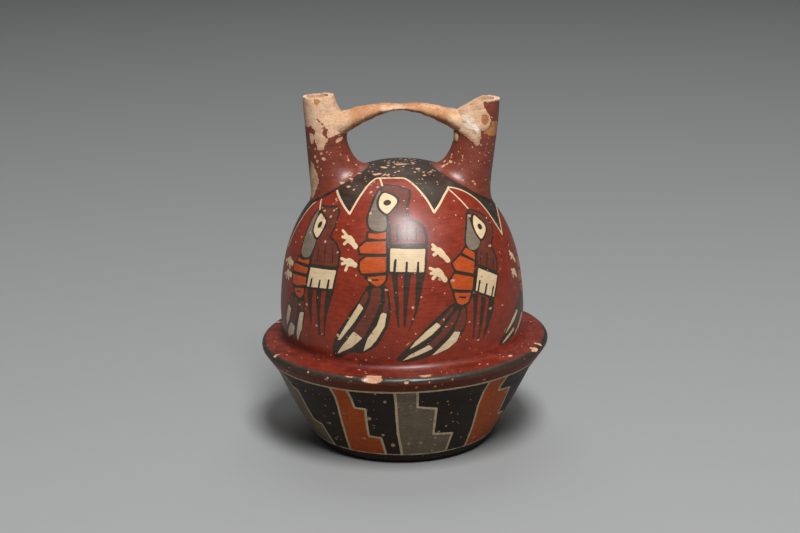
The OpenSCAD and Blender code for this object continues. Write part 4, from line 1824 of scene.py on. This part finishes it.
@dataclass
class Spout:
    """One spout and its luted collar. A rim cut is a height and a slope in degrees."""

    side: Side
    chamber: Chamber
    length: float
    rim_cuts: tuple[Point, ...]
    wear: SpoutWear
    foot_x: float = 34.5
    lean: float = 10.0
    foot_r: float = 11.8
    lip_r: float = 7.8
    bore_r: float = 5.0
    mouth_r: float = 5.8
    pierced_r: float = 7.0
    bore_low: float = 17.0
    bore_high: float = 31.0
    foot_end: float = 7.0
    solid_end: float = 14.0
    piercer_end: float = 22.0
    rim_bevel: float = 0.75
    rim_worn: float = 9.0
    rim_wave: float = 0.16
    collar_in: float = 3.0
    collar_spread: float = 4.0
    collar_up: float = 11.5
    collar_rise: float = 7.0
    collar_edge: float = 0.35
    collar_wall: float = 1.6
    collar_lap: float = 1.2
    collar_deep: float = 1.4
    collar_bite: float = 0.12
    collar_steps: int = 34
    smear_thick: float = 0.0
    flat_side: float = 0.0
    columns: int = 160

    @property
    def foot(self) -> Vector:
        """Where the spout's axis meets the dome."""
        return Vector((self.side.value * self.foot_x, 0.0, self.chamber.dome_height(self.foot_x)))

    @property
    def stance(self) -> Matrix:
        """Turns places by the spout's axis into places on the bottle."""
        lean = math.radians(self.side.value * self.lean)
        return Matrix.Translation(self.foot) @ Matrix.Rotation(lean, 4, "Y")

    def radius(self, height: np.ndarray | float) -> np.ndarray | float:
        """Outer radius at heights above the foot."""
        share = np.maximum(0, 1 - height / self.length)
        return self.lip_r + (self.foot_r - self.lip_r) * np.sqrt(share)

    def turned_solid(self, side: list[Point], columns: int, name: str) -> bpy.types.Object:
        """Spins a filled solid round the spout's axis.

        Args:
            side: Radius and height of its side's corners, from the lowest.
            columns: How many steps the turn takes.
            name: The solid's name.

        Returns:
            The solid, on the bottle.
        """
        bm = revolve([(0.0, side[0][1]), *side, (0.0, side[-1][1])], columns)
        bmesh.ops.transform(bm, matrix=self.stance, verts=bm.verts)
        return finish_mesh(bm, name)

    def solid(self, shrink: float) -> bpy.types.Object:
        """The spout's outside as a filled solid, a little thinner than the spout."""
        heights = np.linspace(-self.solid_end, self.length, 40)
        return self.turned_solid([(self.radius(h) - shrink, float(h)) for h in heights], 96, "cutter")

    def piercer(self) -> bpy.types.Object:
        """The round tool that pierces the crown under the spout."""
        side = [(self.pierced_r, -self.piercer_end), (self.pierced_r, self.solid_end)]
        return self.turned_solid(side, 64, f"piercer_{self.side.word}")

    def tube_mesh(self) -> bmesh.types.BMesh:
        """Turns the tube, cuts its rim and rounds the rim's corners.

        Returns:
            The tube, round Z.
        """
        outer = [(self.radius(h), float(h)) for h in np.linspace(-self.foot_end, self.length + 1, 44)]
        inner = [
            (self.mouth_r, self.length + 1.0), (self.mouth_r, self.length - 2.5),
            (self.bore_r, self.bore_high), (self.bore_r, self.bore_low),
            (self.pierced_r, 0.0), (self.pierced_r, -self.foot_end),
        ]
        bm = revolve([*outer, *inner], self.columns // 2)
        for height, slope in self.rim_cuts:
            tilt = math.radians(slope) * self.side.value
            parts, up = [*bm.verts, *bm.edges, *bm.faces], (-math.sin(tilt), 0.0, math.cos(tilt))
            plane = {"plane_co": (0.0, 0.0, height), "plane_no": up}
            bmesh.ops.bisect_plane(bm, geom=parts, clear_outer=True, **plane)
        rim = [e for e in bm.edges if e.is_boundary]
        bmesh.ops.bridge_loops(bm, edges=rim)
        bmesh.ops.recalc_face_normals(bm, faces=bm.faces)
        round_off = {"segments": 3, "profile": 0.5, "affect": "EDGES", "clamp_overlap": True}
        bmesh.ops.bevel(bm, geom=rim, offset=self.rim_bevel, material=-1, **round_off)
        bmesh.ops.subdivide_edges(bm, edges=bm.edges, cuts=1, use_grid_fill=True)
        return bm

    def build_tube(self, finish: bpy.types.Material, bridge: "Bridge") -> None:
        """The rolled tube, cut at its rim, worn and painted.

        Args:
            finish: Its finish.
            bridge: The bridge whose clay is thumbed out over it.
        """
        piece = finish_mesh(self.tube_mesh(), f"spout_{self.side.word}")
        spots = places(piece)
        wall = Wall.through(spots)
        standing = moved(spots, self.stance)
        fields = self.tube_fields(wall)
        fields[Layer.PLASTER] = plaster_field(standing)
        keep_fields(piece, fields)
        around = np.radians(wall.theta)
        outer = smooth_step(0.9, 0.1, self.radius(wall.up) - wall.radius)
        skin = self.smear_thick * smooth_step(0.8, -1.6, fields[Layer.BARE]) + bridge.smear(self, standing)
        swell = ripple(TUBE_RIPPLES, around, wall.up) + skin * outer
        pressed = self.flat_side * smooth_step(2, 40, wall.up) * (self.side.value * spots[:, 0] > 0)
        worn = smooth_step(self.length - self.rim_worn, self.length, wall.up)
        spots[:, 2] += self.rim_wave * worn * ripple(RIM_RIPPLES, around)
        spots[:, :2] *= (1 + swell / wall.radius)[:, None]
        spots[:, 0] *= 1 - pressed
        move_places(piece, spots)
        piece.data.transform(self.stance)
        seat(piece, Slot.MAROON, [finish], f"{self.side.word}_spout")

    def tube_fields(self, wall: Wall) -> Fields:
        """Painted distances of the tube.

        Args:
            wall: Places on the tube, its up being the height above the foot.

        Returns:
            The distances, for each layer.
        """
        inside = wall.radius - self.radius(wall.up) + 1.0
        outward = self.side.value * wall.radius * np.sin(np.radians(wall.theta))
        rims = [height + outward * math.tan(math.radians(slope)) for height, slope in self.rim_cuts]
        rim = np.minimum.reduce(rims) - self.rim_bevel
        return {
            Layer.BARE: np.minimum.reduce([self.wear.bare(wall), rim - wall.up, inside]),
            Layer.STAIN: self.wear.stained(wall),
            Layer.SPALL: flaked(wall, self.wear.specks + SPOUT_STREWN[self.side].specks()),
        }

    def on_tube(self, height: float, radius: float, angle: float) -> Vector:
        """A place by the spout's axis, its angle measured from the bridge's side."""
        inward = -self.side.value * math.cos(angle)
        return self.stance @ Vector((radius * inward, radius * math.sin(angle), height))

    def on_dome(self, radius: float, angle: float, up: float) -> Vector:
        """A place over the dome round the collar's middle.

        Args:
            radius: Distance from the collar's middle, seen from above.
            angle: Angle in radians, from the bridge's side.
            up: How far above the dome's face.

        Returns:
            The place on the bottle.
        """
        x = self.side.value * (self.foot_x - self.collar_in - radius * math.cos(angle))
        y = radius * math.sin(angle)
        return Vector((x, y, self.chamber.dome_height(math.hypot(x, y)) + up))

    def collar_rings(self, angles: list[float]) -> list[list[Vector]]:
        """Rings of the collar, from its foot on the crown up, and down again inside.

        Args:
            angles: Where the points of a ring lie, in radians from the bridge's side.

        Returns:
            The rings.
        """
        spread = self.foot_r + self.collar_spread
        hole_r = self.pierced_r + self.collar_wall
        tops = [self.collar_up + self.collar_rise * math.cos(a) for a in angles]
        bends = []
        for a, top in zip(angles, tops):
            high, mid = top + 2.0, (top + 2.0) * 0.3
            start = self.on_dome(spread + self.collar_lap, a, -self.collar_bite)
            low = self.on_dome(spread * 0.84, a, 0.25)
            bend = self.on_tube(mid, self.radius(mid) + self.collar_edge, a)
            bends.append((start, low, bend, self.on_tube(high, self.radius(high) - self.collar_bite, a)))
        steps = self.collar_steps
        rings = [[self.on_dome(spread + self.collar_lap, a, -self.collar_deep) for a in angles]]
        rings += [[bezier(i / steps, *bend) for bend in bends] for i in range(steps + 1)]
        rings.append([self.on_tube(top, hole_r, a) for a, top in zip(angles, tops)])
        rings.append([self.on_tube(0.5, hole_r, a) for a in angles])
        return rings

    def build_collar(self, finish: bpy.types.Material) -> None:
        """The coil luted round the foot and smoothed onto the crown."""
        rings = self.collar_rings([math.tau * k / self.columns for k in range(self.columns)])
        piece = finish_mesh(loft(rings, Closing.JOINED), f"collar_{self.side.word}")
        spots = places(piece)
        wall = Wall.through(moved(spots, self.stance.inverted()))
        fields = self.tube_fields(wall)
        fields[Layer.BARE] = self.wear.bare(wall)
        middle_x = self.side.value * (self.foot_x - self.collar_in)
        black_r = self.foot_r + self.collar_spread - 0.4
        fields[Layer.CROWN] = black_r - np.hypot(spots[:, 0] - middle_x, spots[:, 1])
        keep_fields(piece, fields)
        seat(piece, Slot.MAROON, [finish], f"{self.side.word}_spout_collar")


@dataclass
class Bridge:
    """The arched strap between the spouts and the welds that press it round them."""

    spouts: tuple[Spout, Spout]
    middle_z: float = 176.0
    fall: float = 8.8
    middle_wide: float = 11.0
    middle_thick: float = 2.6
    end_wide: float = 17.0
    end_thick: float = 11.3
    end_x: float = 31.0
    seam_x: float = 24.0
    sag: float = 1.6
    weld_tall: float = 21.0
    weld_proud: float = -0.15
    weld_sink: float = 3.0
    weld_bite: float = 0.25
    weld_steps: int = 22
    smear_thick: float = 1.0
    smear_reach: float = 5.5
    pale_x: float = 25.0
    sides: int = 56
    step: float = 0.7

    def strap_section(self, x: float) -> tuple[float, float, float]:
        """Height, width and thickness of the strap at x.

        Args:
            x: Place along the bottle.

        Returns:
            The section's middle height, its width and its thickness.
        """
        share = (abs(x) / self.end_x) ** 1.1
        extra = self.sag * share if x < 0 else 0.0
        z = self.middle_z - self.fall * (x / self.end_x) ** 2 - extra / 2
        wide = self.middle_wide + (self.end_wide - self.middle_wide) * share
        return z, wide, self.middle_thick + (self.end_thick - self.middle_thick) * share + extra

    def weld_section(self, spout: Spout, share: float) -> tuple[float, float, float, float]:
        """A section of a weld, leaving the strap smoothly.

        Args:
            spout: The spout that the weld wraps.
            share: How far along the weld, from 0 at the strap to 1 at the spout's axis.

        Returns:
            Its x, middle height, width and thickness.
        """
        sign = spout.side.value
        reach_z = self.strap_section(sign * self.end_x)[0]
        up = (reach_z - spout.foot.z) / math.cos(math.radians(spout.lean))
        end_x = spout.foot_x + up * math.sin(math.radians(spout.lean))
        ends = (reach_z - self.weld_sink, 2 * (spout.radius(up) + self.weld_proud), self.weld_tall)
        start = self.strap_section(sign * self.seam_x)
        nudge = 0.1
        before = self.strap_section(sign * (self.seam_x - nudge))
        length = end_x - self.seam_x
        made = []
        for first, prior, last in zip(start, before, ends):
            slope = (first - prior) / nudge * length
            rest = last - first - slope
            made.append(first + slope * share + rest * share * share)
        return (sign * (self.seam_x + length * share), *made)

    def smear(self, spout: Spout, spots: np.ndarray) -> np.ndarray:
        """How thickly a weld's clay is thumbed out over its spout.

        Args:
            spout: The spout.
            spots: Places on the spout.

        Returns:
            The clay's thickness at each place.
        """
        along = spout.side.value * spots[:, 0]
        end_x = abs(self.weld_section(spout, 1.0)[0])
        share = np.clip((along - self.seam_x) / (end_x - self.seam_x), 0, 1)
        _, z, wide, thick = self.weld_section(spout, share)
        gap = np.hypot(spots[:, 1] / (wide / 2), (spots[:, 2] - z) / (thick / 2)) - 1
        away = np.hypot(np.maximum(0, gap * thick / 2), np.maximum(0, along - end_x))
        return self.smear_thick * (1 - np.clip(away / self.smear_reach, 0, 1)) ** 2

    def oval(self, x: float, z: float, wide: float, thick: float) -> list[Vector]:
        """An upright oval section.

        Args:
            x: Place along the bottle.
            z: Height of its middle.
            wide: Its width.
            thick: Its thickness.

        Returns:
            Its points in order.
        """
        made = []
        for k in range(self.sides):
            a = math.tau * k / self.sides
            lump = ripple(BRIDGE_LUMPS, a, x)
            across, up = (wide / 2 + lump) * math.cos(a), (thick / 2 + lump) * math.sin(a)
            made.append(Vector((x, across, z + up)))
        return made

    def clay_fields(self, spots: np.ndarray) -> Fields:
        """Distances to the pale fill and to the bridge's paler ends."""
        return {Layer.PLASTER: plaster_field(spots), Layer.BARE: self.pale_x - np.abs(spots[:, 0])}

    def build_strap(self, finish: bpy.types.Material) -> None:
        """The arched strap."""
        count = round(2 * self.seam_x / self.step)
        ways = np.linspace(-self.seam_x, self.seam_x, count + 1)
        rings = [self.oval(float(x), *self.strap_section(float(x))) for x in ways]
        piece = finish_mesh(loft(rings, Closing.CAPPED), "arched_strap")
        keep_fields(piece, self.clay_fields(places(piece)))
        seat(piece, Slot.BARE, [finish], "bridge_strap")

    def build_welds(self, finish: bpy.types.Material) -> None:
        """The welds, cut to wrap their spouts."""
        for spout in self.spouts:
            steps = self.weld_steps
            rings = [self.oval(*self.weld_section(spout, i / steps)) for i in range(steps + 1)]
            piece = finish_mesh(loft(rings, Closing.CAPPED), f"weld_{spout.side.word}")
            carve(piece, spout.solid(self.weld_bite))
            keep_fields(piece, self.clay_fields(places(piece)))
            seat(piece, Slot.BARE, [finish], f"{spout.side.word}_bridge_weld")


@dataclass(frozen=True)
class Studio:
    """The floor, the soft lamps and the camera."""

    eye: tuple[float, float, float] = (0.0, -0.850, 0.327)
    pitch: float = 15.475
    roll: float = -0.6
    lens: float = 76.09
    shift: float = -0.0019
    floor_seen: str = "959696"
    floor_bounce: str = "7b7b79"
    sky_tone: str = "c8c8c6"
    sky_light: float = 0.08
    key_watts: float = 33.0
    floor_watts: float = 19.0
    floor_half: float = 6.0
    aim: tuple[float, float, float] = (0.0, 0.0, 0.11)

    def build_floor(self) -> None:
        """A plain pale floor."""
        bm = bmesh.new()
        bmesh.ops.create_grid(bm, x_segments=1, y_segments=1, size=self.floor_half)
        floor = finish_mesh(bm, "floor")
        bench = Bench("pale floor")
        rays = bench.tree.nodes.new("ShaderNodeLightPath")
        tone = bench.shade(rays.outputs["Is Camera Ray"], self.floor_bounce, self.floor_seen)
        floor.data.materials.append(bench.surface(tone, 0.9, 0.0, 0.3))

    def lamp(self, name: str, spot: Vector, sides: Point, watts: float) -> None:
        """One soft lamp aimed at the bottle's middle.

        Args:
            name: The lamp's name.
            spot: Where it hangs.
            sides: Its width and height.
            watts: Its power.
        """
        data = bpy.data.lights.new(name, "AREA")
        data.shape = "RECTANGLE"
        data.size, data.size_y = sides
        data.energy = watts
        lamp = bpy.data.objects.new(name, data)
        aim = Vector(self.aim) - spot
        turn = aim.to_track_quat("-Z", "Y").to_matrix().to_4x4()
        lamp.matrix_world = Matrix.Translation(spot) @ turn
        bpy.context.scene.collection.objects.link(lamp)

    def build_lamps(self) -> None:
        """A soft key lamp above the front, a broad one behind it for the floor, and an even sky."""
        self.lamp("key lamp", Vector((0.15, -0.86, 1.42)), (0.42, 0.7), self.key_watts)
        self.lamp("floor lamp", Vector((0.0, 1.3, 2.5)), (2.2, 1.6), self.floor_watts)
        world = bpy.data.worlds.new("sky")
        bpy.context.scene.world = world
        world.use_nodes = True
        tree = world.node_tree
        tree.nodes.clear()
        rays = tree.nodes.new("ShaderNodeLightPath")
        mixed = tree.nodes.new("ShaderNodeMixShader")
        end = tree.nodes.new("ShaderNodeOutputWorld")
        tree.links.new(rays.outputs["Is Camera Ray"], mixed.inputs[0])
        for number, (tone, strength) in enumerate((("ffffff", self.sky_light), (self.sky_tone, 1.0)), 1):
            sky = tree.nodes.new("ShaderNodeBackground")
            sky.inputs["Color"].default_value = linear(tone)
            sky.inputs["Strength"].default_value = strength
            tree.links.new(sky.outputs[0], mixed.inputs[number])
        tree.links.new(mixed.outputs[0], end.inputs[0])

    def build_camera(self) -> None:
        """The camera at the photograph's height, distance and slight roll."""
        data = bpy.data.cameras.new("camera")
        data.lens = self.lens
        data.sensor_width = 36.0
        data.shift_x = self.shift
        data.clip_start = 0.05
        data.clip_end = 30.0
        camera = bpy.data.objects.new("camera", data)
        tilt = Matrix.Rotation(math.radians(90 - self.pitch), 4, "X")
        roll = Matrix.Rotation(math.radians(self.roll), 4, "Z")
        camera.matrix_world = Matrix.Translation(self.eye) @ tilt @ roll
        bpy.context.scene.collection.objects.link(camera)
        bpy.context.scene.camera = camera


def main() -> None:
    """Builds the bottle piece by piece, then the studio."""
    logging.basicConfig(level=logging.INFO, format="%(name)s: %(message)s")
    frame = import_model()
    bpy.context.scene.view_settings.view_transform = "Standard"

    bowl_slip, dome_slip, ledge_slip, spout_slip, collar_slip, bridge_clay, inner_clay = (
        finish.make() for finish in FINISHES
    )

    chamber = Chamber()
    left = Spout(Side.LEFT, chamber, 45.5, ((44.6, 6.0),), LEFT_WEAR, flat_side=0.16)
    rim_cuts = ((42.6, 10.0), (42.4, 38.0))
    right = Spout(Side.RIGHT, chamber, 45.0, rim_cuts, RIGHT_WEAR, smear_thick=0.6)
    chamber.build_foot(bowl_slip)
    chamber.build_bowl(bowl_slip)
    chamber.build_ledge(ledge_slip, bowl_slip)
    chamber.build_wall(dome_slip)
    chamber.build_crown(dome_slip, [left.piercer(), right.piercer()])
    bridge = Bridge((left, right))
    for spout in (left, right):
        spout.build_tube(spout_slip, bridge)
        spout.build_collar(collar_slip)
    bridge.build_strap(bridge_clay)
    bridge.build_welds(bridge_clay)

    coil = frame["nodes"]["ledge_seam_coil"]
    coil.data.materials.clear()
    coil.data.materials.append(inner_clay)

    studio = Studio()
    studio.build_floor()
    studio.build_lamps()
    studio.build_camera()


if __name__ == "__main__":
    main()
